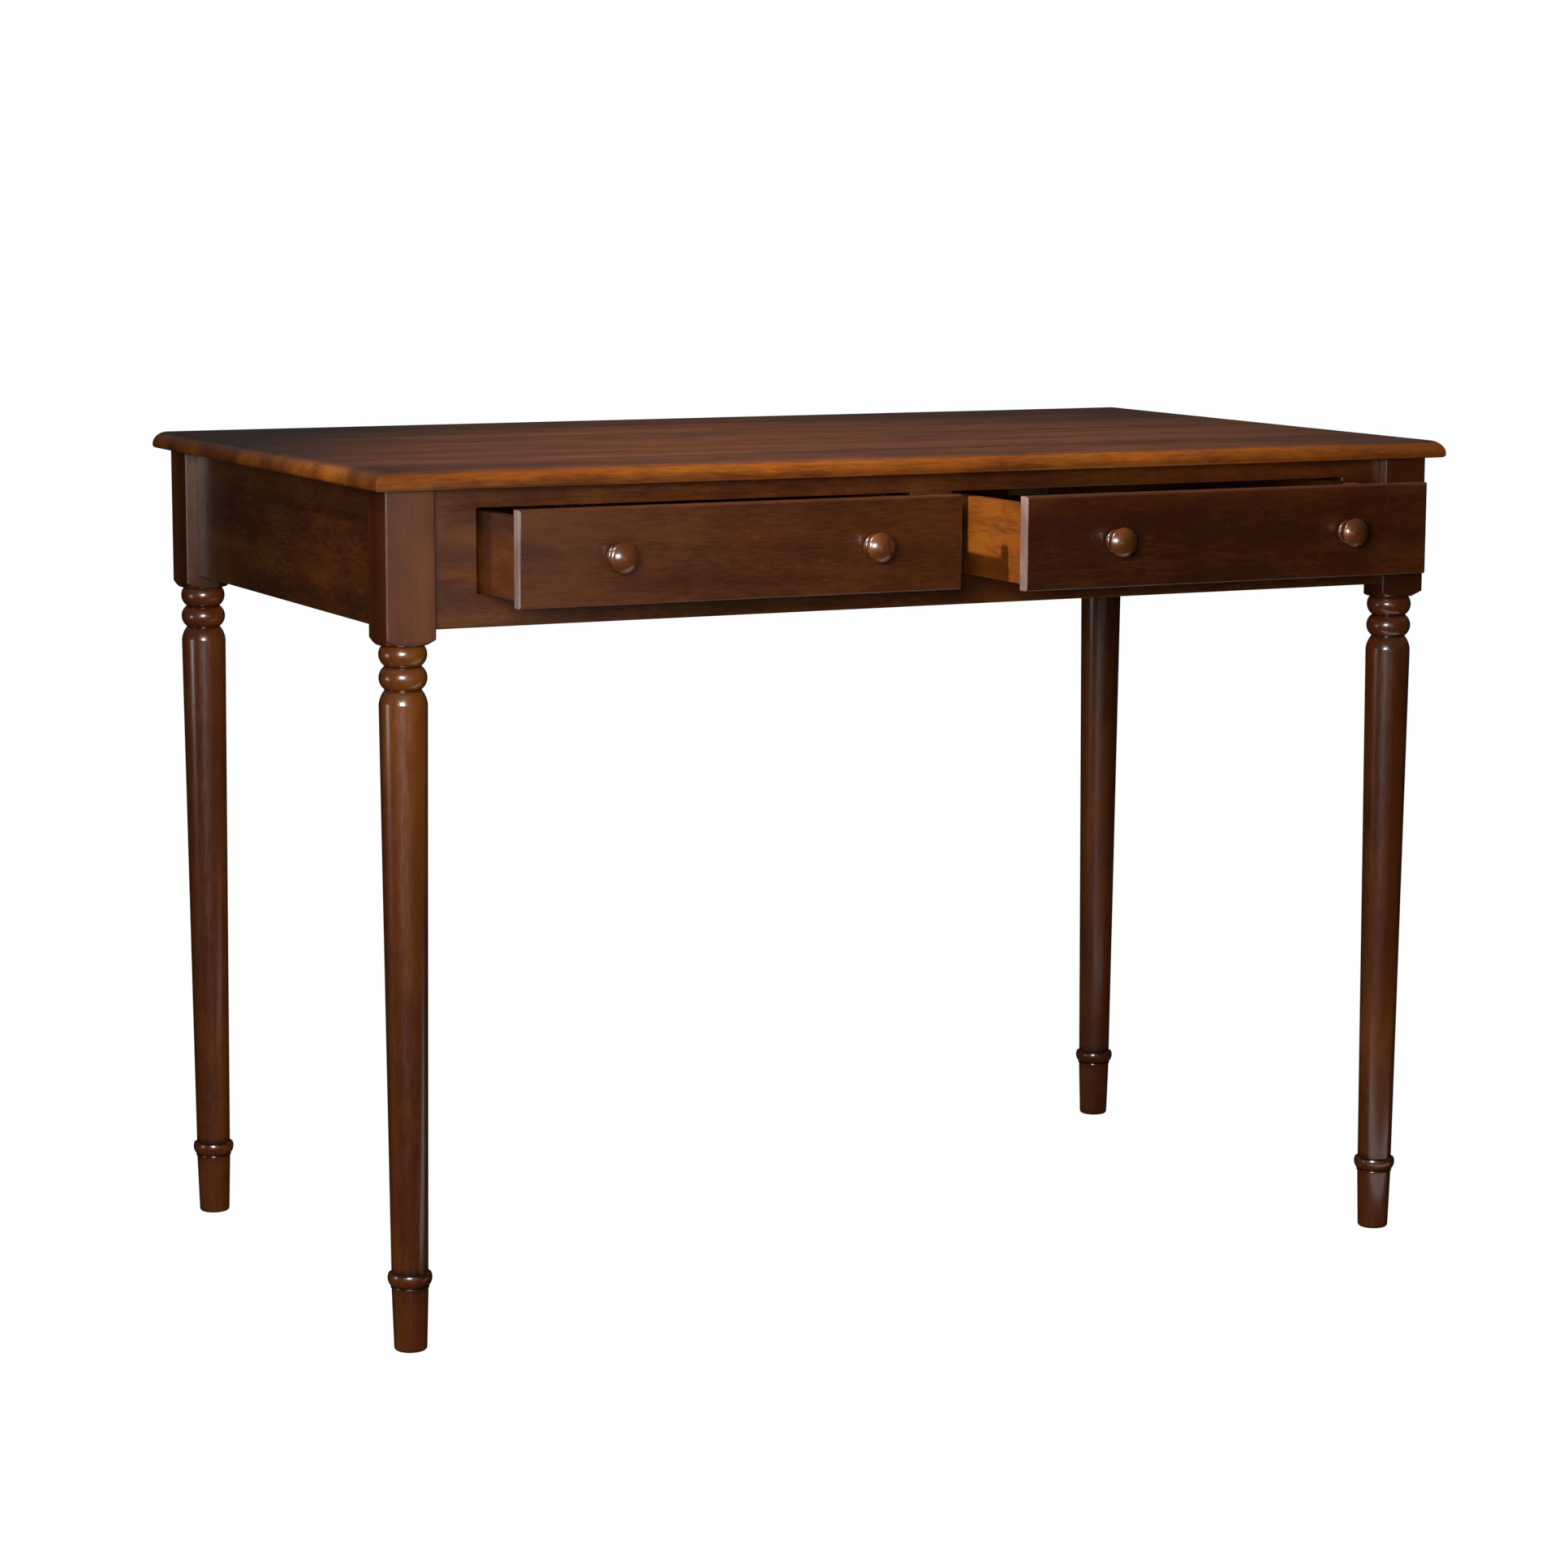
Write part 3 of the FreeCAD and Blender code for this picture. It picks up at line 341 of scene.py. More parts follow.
def rescale(tree, value, low, high, new_low, new_high):
    """A value moved smoothly from one range to another and kept inside it."""
    node = tree.nodes.new("ShaderNodeMapRange")
    node.interpolation_type = "SMOOTHSTEP"
    for name, number in (("From Min", low), ("From Max", high), ("To Min", new_low), ("To Max", new_high)):
        node.inputs[name].default_value = number
    join(tree, value, node.inputs["Value"])
    return node.outputs["Result"]


def mix_colours(tree, share, first, second, blend="MIX"):
    """Two colours mixed by a share."""
    node = tree.nodes.new("ShaderNodeMix")
    node.data_type = "RGBA"
    node.blend_type = blend
    join(tree, share, node.inputs["Factor"])
    join(tree, first, node.inputs["A"])
    join(tree, second, node.inputs["B"])
    return node.outputs["Result"]


def shade_by(tree, value, shades):
    """A colour ramp through a few shades, evenly spaced over the middle of the noise."""
    node = tree.nodes.new("ShaderNodeValToRGB")
    stops = node.color_ramp.elements
    while len(stops) < len(shades):
        stops.new(RAMP_START + RAMP_LENGTH / 2)
    for number, shade in enumerate(shades):
        stops[number].position = RAMP_START + RAMP_LENGTH * number / (len(shades) - 1)
        stops[number].color = (*shade, 1)
    join(tree, value, node.inputs["Fac"])
    return node.outputs["Color"]


def lumps(tree, spot, grain, along, across, detail):
    """Noise with so many lumps per metre along the grain and across it."""
    mapping = tree.nodes.new("ShaderNodeMapping")
    scale = [across, across, across]
    scale[GRAIN_AXES[grain]] = along
    mapping.inputs["Scale"].default_value = scale
    noise = tree.nodes.new("ShaderNodeTexNoise")
    noise.inputs["Scale"].default_value = 1
    noise.inputs["Detail"].default_value = detail
    tree.links.new(spot, mapping.inputs["Vector"])
    tree.links.new(mapping.outputs["Vector"], noise.inputs["Vector"])
    return noise.outputs["Fac"]


# %% [markdown]
# The flat of the top and its moulded edge took the stain differently: the edge shows orange. The ends of
# the drawer fronts are painted paler than their faces, as a painted highlight of the light that catches
# them. The surface's own direction tells such places apart, so one finish covers both. On turned work the
# stain gathers in the grooves, and a number stored on each point of the mesh says how deep it lies.

# %% The wood recipe
# Lumps per metre along the grain and across it, and the steps of finer detail in them.
BAND_LUMPS = (1.3, 26, 3)
FIBRE_LUMPS = (60, 480, 2)
FLECK_LUMPS = (190, 700, 3)
BLOTCH_LUMPS = (3.5, 7, 2)
MOTTLE_LUMPS = (17, 38, 3)
GOLD_LUMPS = (9, 24, 3)
WAVE_LUMPS = (1.5, 5, 2)
WAVE_SIZE = 0.02
BAND_SHARE = 0.5
FIBRE_SHARE = 0.2
TURNED_FIBRE_SHARE = 0.07
BLOTCH_SHARE = 0.26
MOTTLE_SHARE = 0.22
GOLD_TINT = (1.03, 1.18, 1.25, 1)
GOLD_RANGE = (0.44, 0.6)
FLECK_RANGE = (0.54, 0.72)
FLECK_PATCH_RANGE = (0.42, 0.6)
FLECK_PATCH_SHARES = (0.15, 1)
FLECK_RELIEF_SHARE = 0.7
FIBRE_RANGE = (0.3, 0.7)
EDGE_FACING = (0.72, 0.97)
END_HIGHLIGHT_FACING = (0.45, 0.95)
BUMP_DISTANCE = 0.0004
STAIN_ATTRIBUTE = "stain_depth"
GROOVE_DARKNESS = (0.3, 0.22, 0.18, 1)
SATIN = (0.28, 0.38)
MATT = (0.48, 0.6)
DULL = (0.55, 0.72)
LACQUER_WEIGHT = 0.9
LACQUER_ROUGHNESS = 0.26
TURNED_LACQUER_ROUGHNESS = 0.17
UNPOLISHED_GLOSS = 0.25


def wavy_place(tree, grain):
    """Object coordinates, bent a little so that the grain isn't ruled straight."""
    place = tree.nodes.new("ShaderNodeTexCoord")
    wave = lumps(tree, place.outputs["Object"], grain, *WAVE_LUMPS)
    shift = calculate(tree, "MULTIPLY", wave, WAVE_SIZE)
    add = tree.nodes.new("ShaderNodeVectorMath")
    add.operation = "ADD"
    tree.links.new(place.outputs["Object"], add.inputs[0])
    tree.links.new(shift, add.inputs[1])
    return place, add.outputs["Vector"]


def facing(tree, place, axis, limits):
    """How squarely a surface faces along an axis of its object, from zero to one between two limits."""
    direction = tree.nodes.new("ShaderNodeSeparateXYZ")
    tree.links.new(place.outputs["Normal"], direction.inputs[0])
    return rescale(tree, calculate(tree, "ABSOLUTE", direction.outputs[axis], 0), *limits, 0, 1)


def wood_tone(tree, weighted_layers):
    """The weighted sum of noise layers, shifted so that its middle stays at one half."""
    parts = [calculate(tree, "MULTIPLY", layer, share) for layer, share in weighted_layers]
    tone = parts[0]
    for part in parts[1:]:
        tone = calculate(tree, "ADD", tone, part)
    excess = sum(share for layer, share in weighted_layers) - 1
    return calculate(tree, "SUBTRACT", tone, excess / 2)


def bump_up(tree, shader, relief, strength):
    """Raise a shader's surface by a relief."""
    ridge = tree.nodes.new("ShaderNodeBump")
    ridge.inputs["Strength"].default_value = strength
    ridge.inputs["Distance"].default_value = BUMP_DISTANCE
    tree.links.new(relief, ridge.inputs["Height"])
    tree.links.new(ridge.outputs["Normal"], shader.inputs["Normal"])


def stained_wood(name, grain, shades, fleck, fleck_share, roughness, bump,
                 edge_shades=None, painted_end_highlight=None, turned=False):
    """A wood finish: grain axis, dark to light shades, flecks, roughness range and depth of bump."""
    finish = bpy.data.materials.new(name)
    finish.use_nodes = True
    tree = finish.node_tree
    shader = tree.nodes["Principled BSDF"]
    place, spot = wavy_place(tree, grain)
    bands, fibres, flecks, blotches, mottles, gold = (
        lumps(tree, spot, grain, *pattern)
        for pattern in (BAND_LUMPS, FIBRE_LUMPS, FLECK_LUMPS, BLOTCH_LUMPS, MOTTLE_LUMPS, GOLD_LUMPS))

    fibre_share = TURNED_FIBRE_SHARE if turned else FIBRE_SHARE
    tone = wood_tone(tree, ((bands, BAND_SHARE), (fibres, fibre_share),
                            (blotches, BLOTCH_SHARE), (mottles, MOTTLE_SHARE)))
    colour = shade_by(tree, tone, shades)
    if edge_shades:
        flatness = facing(tree, place, "Z", EDGE_FACING)
        colour = mix_colours(tree, flatness, shade_by(tree, tone, edge_shades), colour)
    # Painted highlight: surfaces that face sideways, the ends of the drawer fronts and their rounded edges,
    # get paler shades.
    if painted_end_highlight:
        end_highlight_share = facing(tree, place, "X", END_HIGHLIGHT_FACING)
        colour = mix_colours(tree, end_highlight_share, colour, shade_by(tree, tone, painted_end_highlight))
    colour = mix_colours(tree, rescale(tree, gold, *GOLD_RANGE, 0, 1), colour, GOLD_TINT, "MULTIPLY")
    fleck_here = rescale(tree, flecks, *FLECK_RANGE, 0, fleck_share)
    patches = rescale(tree, mottles, *FLECK_PATCH_RANGE, *FLECK_PATCH_SHARES)
    colour = mix_colours(tree, calculate(tree, "MULTIPLY", fleck_here, patches), colour, (*fleck, 1))
    if turned:
        depth = tree.nodes.new("ShaderNodeAttribute")
        depth.attribute_name = STAIN_ATTRIBUTE
        colour = mix_colours(tree, depth.outputs["Fac"], colour, GROOVE_DARKNESS, "MULTIPLY")
    join(tree, colour, shader.inputs["Base Color"])

    join(tree, rescale(tree, fibres, *FIBRE_RANGE, *roughness), shader.inputs["Roughness"])
    if roughness == SATIN:
        shader.inputs["Coat Weight"].default_value = LACQUER_WEIGHT
        coat_roughness = TURNED_LACQUER_ROUGHNESS if turned else LACQUER_ROUGHNESS
        shader.inputs["Coat Roughness"].default_value = coat_roughness
    else:
        shader.inputs["Specular IOR Level"].default_value = UNPOLISHED_GLOSS
    fleck_relief = calculate(tree, "MULTIPLY", flecks, FLECK_RELIEF_SHARE)
    bump_up(tree, shader, calculate(tree, "ADD", fibres, fleck_relief), bump)
    return finish


# %% [markdown]
# The stain ranges from nearly black on the drawer fronts to orange on the moulded edge. Each finish names
# three shades from dark to light, tuned beside the photograph until the lit wood matched it. Grain follows
# the length of a board, so boards of one colour that run two ways have two finishes with the same shades.

# %% Mix the stains
TOP_SHADES = ((0.068, 0.0135, 0.002), (0.12, 0.027, 0.004), (0.19, 0.046, 0.008))
EDGE_SHADES = ((0.11, 0.022, 0.0008), (0.22, 0.052, 0.0015), (0.37, 0.105, 0.0045))
LEG_SHADES = ((0.062, 0.012, 0.0009), (0.108, 0.0235, 0.0016), (0.17, 0.042, 0.004))
APRON_SHADES = ((0.039, 0.0075, 0.0006), (0.07, 0.0158, 0.001), (0.115, 0.03, 0.0027))
FRONT_SHADES = ((0.036, 0.0065, 0.0004), (0.059, 0.012, 0.0007), (0.09, 0.021, 0.0017))
# Pale shades for the ends of the drawer fronts, a painted highlight.
END_HIGHLIGHT_SHADES = ((0.16, 0.085, 0.068), (0.22, 0.125, 0.1), (0.27, 0.165, 0.135))
KNOB_SHADES = ((0.055, 0.0115, 0.0008), (0.09, 0.021, 0.0016), (0.135, 0.035, 0.0038))
SIDE_SHADES = ((0.04, 0.008, 0.0002), (0.085, 0.0185, 0.0004), (0.155, 0.038, 0.0008))
PLY_SHADES = ((0.24, 0.13, 0.06), (0.34, 0.2, 0.1), (0.44, 0.28, 0.15))
# Bare wood painted darker than it is, as painted shade for the dark inside of the desk.
BARE_WOOD_WITH_PAINTED_SHADE = ((0.13, 0.07, 0.034), (0.19, 0.11, 0.055), (0.25, 0.16, 0.085))
GOLD_FLECK = (0.19, 0.095, 0.03)
DARK_FLECK = (0.02, 0.008, 0.004)
TAN_FLECK = (0.2, 0.11, 0.05)

top_wood = stained_wood("top_wood", "x", TOP_SHADES, GOLD_FLECK, fleck_share=0.1,
                        roughness=SATIN, bump=0.12, edge_shades=EDGE_SHADES)
leg_wood = stained_wood("leg_wood", "z", LEG_SHADES, DARK_FLECK, fleck_share=0.25,
                        roughness=SATIN, bump=0.1, turned=True)
apron_wood = stained_wood("apron_wood", "x", APRON_SHADES, GOLD_FLECK, fleck_share=0.22,
                          roughness=SATIN, bump=0.2)
side_apron_wood = stained_wood("side_apron_wood", "y", APRON_SHADES, GOLD_FLECK, fleck_share=0.22,
                               roughness=SATIN, bump=0.2)
front_wood = stained_wood("drawer_front_wood", "x", FRONT_SHADES, GOLD_FLECK, fleck_share=0.15,
                          roughness=SATIN, bump=0.15, painted_end_highlight=END_HIGHLIGHT_SHADES)
knob_wood = stained_wood("knob_wood", "y", KNOB_SHADES, DARK_FLECK, fleck_share=0.2,
                         roughness=SATIN, bump=0.08, turned=True)
drawer_side_wood = stained_wood("drawer_side_wood", "y", SIDE_SHADES, DARK_FLECK, fleck_share=0.12,
                                roughness=MATT, bump=0.15)
drawer_back_wood = stained_wood("drawer_back_wood", "x", SIDE_SHADES, DARK_FLECK, fleck_share=0.12,
                                roughness=MATT, bump=0.15)
plywood = stained_wood("drawer_plywood", "x", PLY_SHADES, TAN_FLECK, fleck_share=0.3,
                       roughness=DULL, bump=0.25)
bare_wood = stained_wood("bare_wood", "y", BARE_WOOD_WITH_PAINTED_SHADE, TAN_FLECK, fleck_share=0.3,
                         roughness=DULL, bump=0.3)
print("Finishes:", len(bpy.data.materials))

# %% [markdown]
# ## Tools for modelling
# A joiner starts from a block and cuts it. Here a cube is stretched over the CAD piece's own box, shaped
# in edit mode, and its sharp edges are eased with a bevel, because no real edge is perfectly sharp.
# A turner starts from an outline: it is drawn point by point and spun round the axis.

# %% Helpers for modelling
ROUND_PROFILE = 0.5
EASE_SEGMENTS = 3
SMOOTH_ANGLE = math.radians(32)
MERGE_DISTANCE = 0.000002


def start_block(name, low, high):
    """A cube stretched between two corners, with its place in its mesh."""
    bpy.ops.object.select_all(action="DESELECT")
    bpy.ops.mesh.primitive_cube_add(size=1, location=(low + high) / 2)
    piece = bpy.context.active_object
    piece.name = name
    piece.scale = high - low
    bpy.ops.object.transform_apply(location=True, rotation=True, scale=True)
    return piece


def round_edges(piece, wanted, radius, segments):
    """Round the edges that pass a test."""
    select_edges(piece, wanted)
    bpy.ops.mesh.bevel(offset=radius, segments=segments, profile=ROUND_PROFILE, affect="EDGES",
                       clamp_overlap=True)
    bpy.ops.object.mode_set(mode="OBJECT")


def apply_modifier(piece, kind, **settings):
    """Add a modifier with its settings and apply it."""
    make_active(piece)
    modifier = piece.modifiers.new(kind.lower(), kind)
    for name, setting in settings.items():
        setattr(modifier, name, setting)
    bpy.ops.object.modifier_apply(modifier=modifier.name)


def combine(piece, tool, operation):
    """Cut one piece with another, or join them into one skin, and throw the tool away."""
    apply_modifier(piece, "BOOLEAN", object=tool, operation=operation, solver="EXACT")
    bpy.data.objects.remove(tool)


def ease(piece, width):
    """Soften every sharp edge by the same small bevel."""
    apply_modifier(piece, "BEVEL", width=width, segments=EASE_SEGMENTS, limit_method="ANGLE",
                   angle_limit=SMOOTH_ANGLE, harden_normals=False)


def smooth(piece):
    """Shade round parts smoothly while flat faces stay flat."""
    make_active(piece)
    bpy.ops.object.shade_smooth_by_angle(angle=SMOOTH_ANGLE)
    apply_modifier(piece, "WEIGHTED_NORMAL", keep_sharp=True)


def turn(name, outline, steps):
    """Draw an outline of (radius, height) points and spin it round the upright axis."""
    bpy.ops.object.select_all(action="DESELECT")
    bpy.ops.mesh.primitive_plane_add(size=1)
    piece = bpy.context.active_object
    piece.name = name
    bpy.ops.object.mode_set(mode="EDIT")
    bpy.ops.mesh.select_mode(type="VERT")
    bpy.ops.mesh.select_all(action="SELECT")
    bpy.ops.mesh.merge(type="CENTER")
    bpy.ops.transform.translate(value=(outline[0][0], 0, outline[0][1]))
    for (radius, height), (next_radius, next_height) in zip(outline, outline[1:]):
        move = (next_radius - radius, 0, next_height - height)
        bpy.ops.mesh.extrude_vertices_move(TRANSFORM_OT_translate={"value": move})
    bpy.ops.mesh.select_all(action="SELECT")
    bpy.ops.mesh.spin(steps=steps, angle=math.tau, center=(0, 0, 0), axis=(0, 0, 1))
    bpy.ops.mesh.select_all(action="SELECT")
    bpy.ops.mesh.remove_doubles(threshold=MERGE_DISTANCE)
    bpy.ops.mesh.normals_make_consistent(inside=False)
    bpy.ops.object.mode_set(mode="OBJECT")
    return piece


def arc(start, through, end, steps):
    """Points of the circle through three points, from the second point on the way to the end."""
    first, middle, last = (complex(*point) for point in (start, through, end))
    ratio = (last - first) / (middle - first)
    centre = first + (middle - first) * (ratio - abs(ratio) ** 2) / (2j * ratio.imag)
    sweep = 0
    spokes = [first - centre, middle - centre, last - centre]
    for before, after in zip(spokes, spokes[1:]):
        quotient = after / before
        sweep += math.atan2(quotient.imag, quotient.real)
    points = []
    for number in range(1, steps + 1):
        angle = sweep * number / steps
        point = centre + spokes[0] * complex(math.cos(angle), math.sin(angle))
        points.append((point.real, point.imag))
    return points


def copy_to(master, name, spot, turned=None):
    """A copy with its own mesh, turned about its origin and then moved."""
    make_active(master)
    bpy.ops.object.duplicate(linked=False)
    piece = bpy.context.active_object
    piece.name = name
    if turned:
        piece.rotation_euler = turned.to_euler()
    piece.location = spot
    bpy.ops.object.transform_apply(location=True, rotation=True, scale=True)
    return piece


def settle(piece, node, finish):
    """Give a finished piece its material and put it in the place of its CAD node."""
    piece.data.materials.clear()
    piece.data.materials.append(finish)
    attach(piece, frame["nodes"][node]["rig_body"])
    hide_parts(node)
    print(piece.name, "has", len(piece.data.polygons), "faces and stands for", node)


# %% [markdown]
# ## The top
# The top is one wide board. Its upper edge is an ovolo, a quarter round that stops just above a thin
# square nose, and its lower edge is barely rounded. Only the rims are bevelled and the four upright
# corner edges are left, so the mouldings meet in a crisp mitre at each corner, as on the real desk.

# %% Model the top
OVOLO_RADIUS = 0.0125
OVOLO_SEGMENTS = 14
NOSE_RADIUS = 0.003
NOSE_SEGMENTS = 5
TOUCH = 0.00001

low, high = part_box("desktop")
top = start_block("top_board", low, high)
round_edges(top, lambda a, b: min(a.z, b.z) > high.z - TOUCH, OVOLO_RADIUS, OVOLO_SEGMENTS)
round_edges(top, lambda a, b: max(a.z, b.z) < low.z + TOUCH, NOSE_RADIUS, NOSE_SEGMENTS)
smooth(top)
settle(top, "desktop", top_wood)

# %% [markdown]
# ## The legs
# Each leg is turned from one square length. The block at its top stays square, apart from the inner
# corner that is cut away for the bolt, and the lathe leaves a cone where the square begins. Below it are
# two beads, a long taper, a ring and a small foot. The round part is spun from its outline, in which arcs
# through three points draw the beads and hollows, so each of them keeps its few plain sizes.

# %% Draw the leg's outline
LEG_STEPS = 72
ARC_STEPS = 12
FOOT_RADIUS = 0.0143
FOOT_ROUND = 0.003
ANKLE_RADIUS = 0.016
FOOT_TOP = 0.0575
FILLET_RADIUS = 0.0169
FILLET_HEIGHT = 0.0016
RING_RADIUS = 0.0194
RING_WIDEST = 0.0655
RING_LIP_RADIUS = 0.0186
RING_LIP = 0.0688
RING_TOP = 0.0698
SHAFT_RADIUS = 0.02085
SHAFT_TOP = 0.564
SHOULDER = (0.01946, 0.56975)
GROOVE_RADIUS = 0.0155
BEAD_RADIUS = 0.0207
BEAD_EDGES = (0.5765, 0.5965, 0.6165)
PLAIN_LENGTH = 0.006

foot_slope = (ANKLE_RADIUS - FOOT_RADIUS) / FOOT_TOP
round_middle = FOOT_ROUND * (1 - math.sqrt(0.5))
outline = [(0, 0), (FOOT_RADIUS - FOOT_ROUND, 0)]
outline += arc(outline[-1], (FOOT_RADIUS - round_middle, round_middle),
               (FOOT_RADIUS + foot_slope * FOOT_ROUND, FOOT_ROUND), ARC_STEPS // 2)
fillet_low = FOOT_TOP - FILLET_HEIGHT
outline.append((ANKLE_RADIUS - foot_slope * PLAIN_LENGTH, fillet_low - PLAIN_LENGTH))
outline.append((ANKLE_RADIUS, fillet_low))
fillet_middle = (FILLET_RADIUS, FOOT_TOP - FILLET_HEIGHT / 2)
outline += arc(outline[-1], fillet_middle, (ANKLE_RADIUS, FOOT_TOP), ARC_STEPS // 2)
outline += arc(outline[-1], (RING_RADIUS, RING_WIDEST), (RING_LIP_RADIUS, RING_LIP), ARC_STEPS)
shaft_slope = (SHAFT_RADIUS - ANKLE_RADIUS) / (SHAFT_TOP - RING_TOP)
outline += [(ANKLE_RADIUS, RING_TOP), (ANKLE_RADIUS + shaft_slope * PLAIN_LENGTH, RING_TOP + PLAIN_LENGTH)]
outline += [(SHAFT_RADIUS, SHAFT_TOP)]
outline += arc(outline[-1], SHOULDER, (GROOVE_RADIUS, BEAD_EDGES[0]), ARC_STEPS)
for edge_low, edge_high in zip(BEAD_EDGES, BEAD_EDGES[1:]):
    bead_middle = (BEAD_RADIUS, (edge_low + edge_high) / 2)
    outline += arc(outline[-1], bead_middle, (GROOVE_RADIUS, edge_high), 2 * ARC_STEPS)
outline += [(0, BEAD_EDGES[-1])]
print("Outline points:", len(outline))

# %% [markdown]
# A square that runs into a cone is hard to build face by face. Here the block is cut by a spun cone, as the
# lathe's tool cuts it, and then joined with the turning into one skin. Points near a groove store their
# deeper stain. One leg is made at the origin, and each corner gets a copy, turned so that the cut corner
# faces inwards.

# %% Turn one leg and copy it
BLOCK_BOTTOM = 0.615
CORNER_CUT = 0.012
ARRIS_RADIUS = 0.0015
ARRIS_SEGMENTS = 4
CONE_RISE_SHARE = 0.575
SPARE = 0.002
BLOCK_GROOVE = 0.6155
GROOVE_HEIGHTS = (FOOT_TOP, RING_TOP, *BEAD_EDGES[:2], BLOCK_GROOVE)
GROOVE_WIDTH = 0.0016
BLOCK_STAIN_SHARE = 0.35
LEG_TURNS = {"front_left": 0, "front_right": 90, "back_right": 180, "back_left": 270}


def upright(a, b):
    """Whether an edge stands upright."""
    return abs(a.x - b.x) < TOUCH and abs(a.y - b.y) < TOUCH


def darken_grooves(piece, heights, width):
    """Store on each point how near it lies to a groove, for the stain to gather there."""
    depth = piece.data.attributes.new(STAIN_ATTRIBUTE, "FLOAT", "POINT")
    for point, place in zip(depth.data, piece.data.vertices):
        point.value = max(math.exp(-((place.co.z - height) / width) ** 2) for height in heights)


def darken_above(piece, height, share):
    """Stain all points above a height more deeply."""
    depth = piece.data.attributes[STAIN_ATTRIBUTE]
    for point, place in zip(depth.data, piece.data.vertices):
        if place.co.z > height:
            point.value = max(point.value, share)


low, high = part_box("leg_front_left")
half = (high.x - low.x) / 2
leg = start_block("leg_block", Vector((-half, -half, BLOCK_BOTTOM - SPARE)), Vector((half, half, high.z)))
round_edges(leg, lambda a, b: upright(a, b) and a.x > 0 and a.y > 0, CORNER_CUT, 1)
round_edges(leg, upright, ARRIS_RADIUS, ARRIS_SEGMENTS)
reach = half * math.sqrt(2) + SPARE
cone_top = BLOCK_BOTTOM + (reach - half) * CONE_RISE_SHARE
cone = turn("cone", [(0, BLOCK_BOTTOM), (half, BLOCK_BOTTOM), (reach, cone_top),
                     (reach, high.z + SPARE), (0, high.z + SPARE)], LEG_STEPS)
combine(leg, cone, "INTERSECT")
combine(leg, turn("turning", outline, LEG_STEPS), "UNION")
darken_grooves(leg, GROOVE_HEIGHTS, GROOVE_WIDTH)
darken_above(leg, BEAD_EDGES[-1] + TOUCH, BLOCK_STAIN_SHARE)
smooth(leg)
for corner, degrees in LEG_TURNS.items():
    low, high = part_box(f"leg_{corner}")
    spot = ((low.x + high.x) / 2, (low.y + high.y) / 2, 0)
    copy = copy_to(leg, f"turned_leg_{corner}", spot, Matrix.Rotation(math.radians(degrees), 3, "Z"))
    settle(copy, f"leg_{corner}", leg_wood)
bpy.data.objects.remove(leg)

# %% [markdown]
# ## The aprons
# Four boards join the legs under the top. The front one has an opening for each drawer, sawn out of a
# single board, so its grain runs on past the openings. The other three are plain. A block is cut with
# two smaller blocks for the openings, which keeps the walls square, and then all edges are eased.

# %% Model the aprons
APRON_EASE = 0.0009
OPENING_INNER = 0.021
OPENING_OUTER = 0.434
OPENING_LOW = 0.656
OPENING_HIGH = 0.7285

low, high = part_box("front_apron")
front_apron = start_block("front_apron_board", low, high)
for start, end in ((-OPENING_OUTER, -OPENING_INNER), (OPENING_INNER, OPENING_OUTER)):
    opening = start_block("opening", Vector((start, low.y - SPARE, OPENING_LOW)),
                          Vector((end, high.y + SPARE, OPENING_HIGH)))
    combine(front_apron, opening, "DIFFERENCE")
ease(front_apron, APRON_EASE)
smooth(front_apron)
settle(front_apron, "front_apron", apron_wood)
for side, finish in (("back", apron_wood), ("left", side_apron_wood), ("right", side_apron_wood)):
    board = start_block(f"{side}_apron_board", *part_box(f"{side}_apron"))
    ease(board, APRON_EASE)
    smooth(board)
    settle(board, f"{side}_apron", finish)

# %% [markdown]
# ## The drawers
# A drawer is a box of thin boards behind a front that is a little taller, so that it laps over the rails
# when it is shut. The front's outer edges are rounded and catch the light. The plywood bottom slides in
# a groove, which is cut in the front and both sides by a block a hair larger than the bottom itself.

# %% Model the drawer boards
FRONT_ROUND = 0.0025
FRONT_ROUND_SEGMENTS = 6
BOARD_EASE = 0.0009
BOTTOM_EASE = 0.0003
GROOVE_GAP = Vector((0.0002, 0.0002, 0.0002))
DRAWERS = ("left_drawer", "right_drawer")


def grooved_board(drawer, part):
    """One of the boards that hold the drawer's bottom, with the groove for it."""
    board = start_block(f"{drawer}_{part}_board", *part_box(f"{drawer}_{part}"))
    if part == "front":
        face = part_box(f"{drawer}_front")[0].y
        round_edges(board, lambda a, b: max(a.y, b.y) < face + TOUCH, FRONT_ROUND, FRONT_ROUND_SEGMENTS)
    low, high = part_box(f"{drawer}_bottom")
    combine(board, start_block("groove", low - GROOVE_GAP, high + GROOVE_GAP), "DIFFERENCE")
    return board


for drawer in DRAWERS:
    for part, slot, finish in (("front", "drawer_front_wood", front_wood),
                               ("left_side", "drawer_side_wood", drawer_side_wood),
                               ("right_side", "drawer_side_wood", drawer_side_wood)):
        board = grooved_board(drawer, part)
        ease(board, BOARD_EASE)
        smooth(board)
        settle(board, f"{drawer}_{part}", finish)
    for part, slot, finish, width in (("back", "drawer_side_wood", drawer_back_wood, BOARD_EASE),
                                      ("bottom", "drawer_plywood", plywood, BOTTOM_EASE)):
        board = start_block(f"{drawer}_{part}_board", *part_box(f"{drawer}_{part}"))
        ease(board, width)
        smooth(board)
        settle(board, f"{drawer}_{part}", finish)

# %% [markdown]
# ## The knobs
# Each knob is turned like a mushroom: a flared base on the drawer, a small collar bead, and a cap with a
# rounded rim and a low dome. Stain has gathered at the base and beside the collar. The outline is spun
# standing up and laid over, so that it points out of the drawer, and one knob is copied to four places.

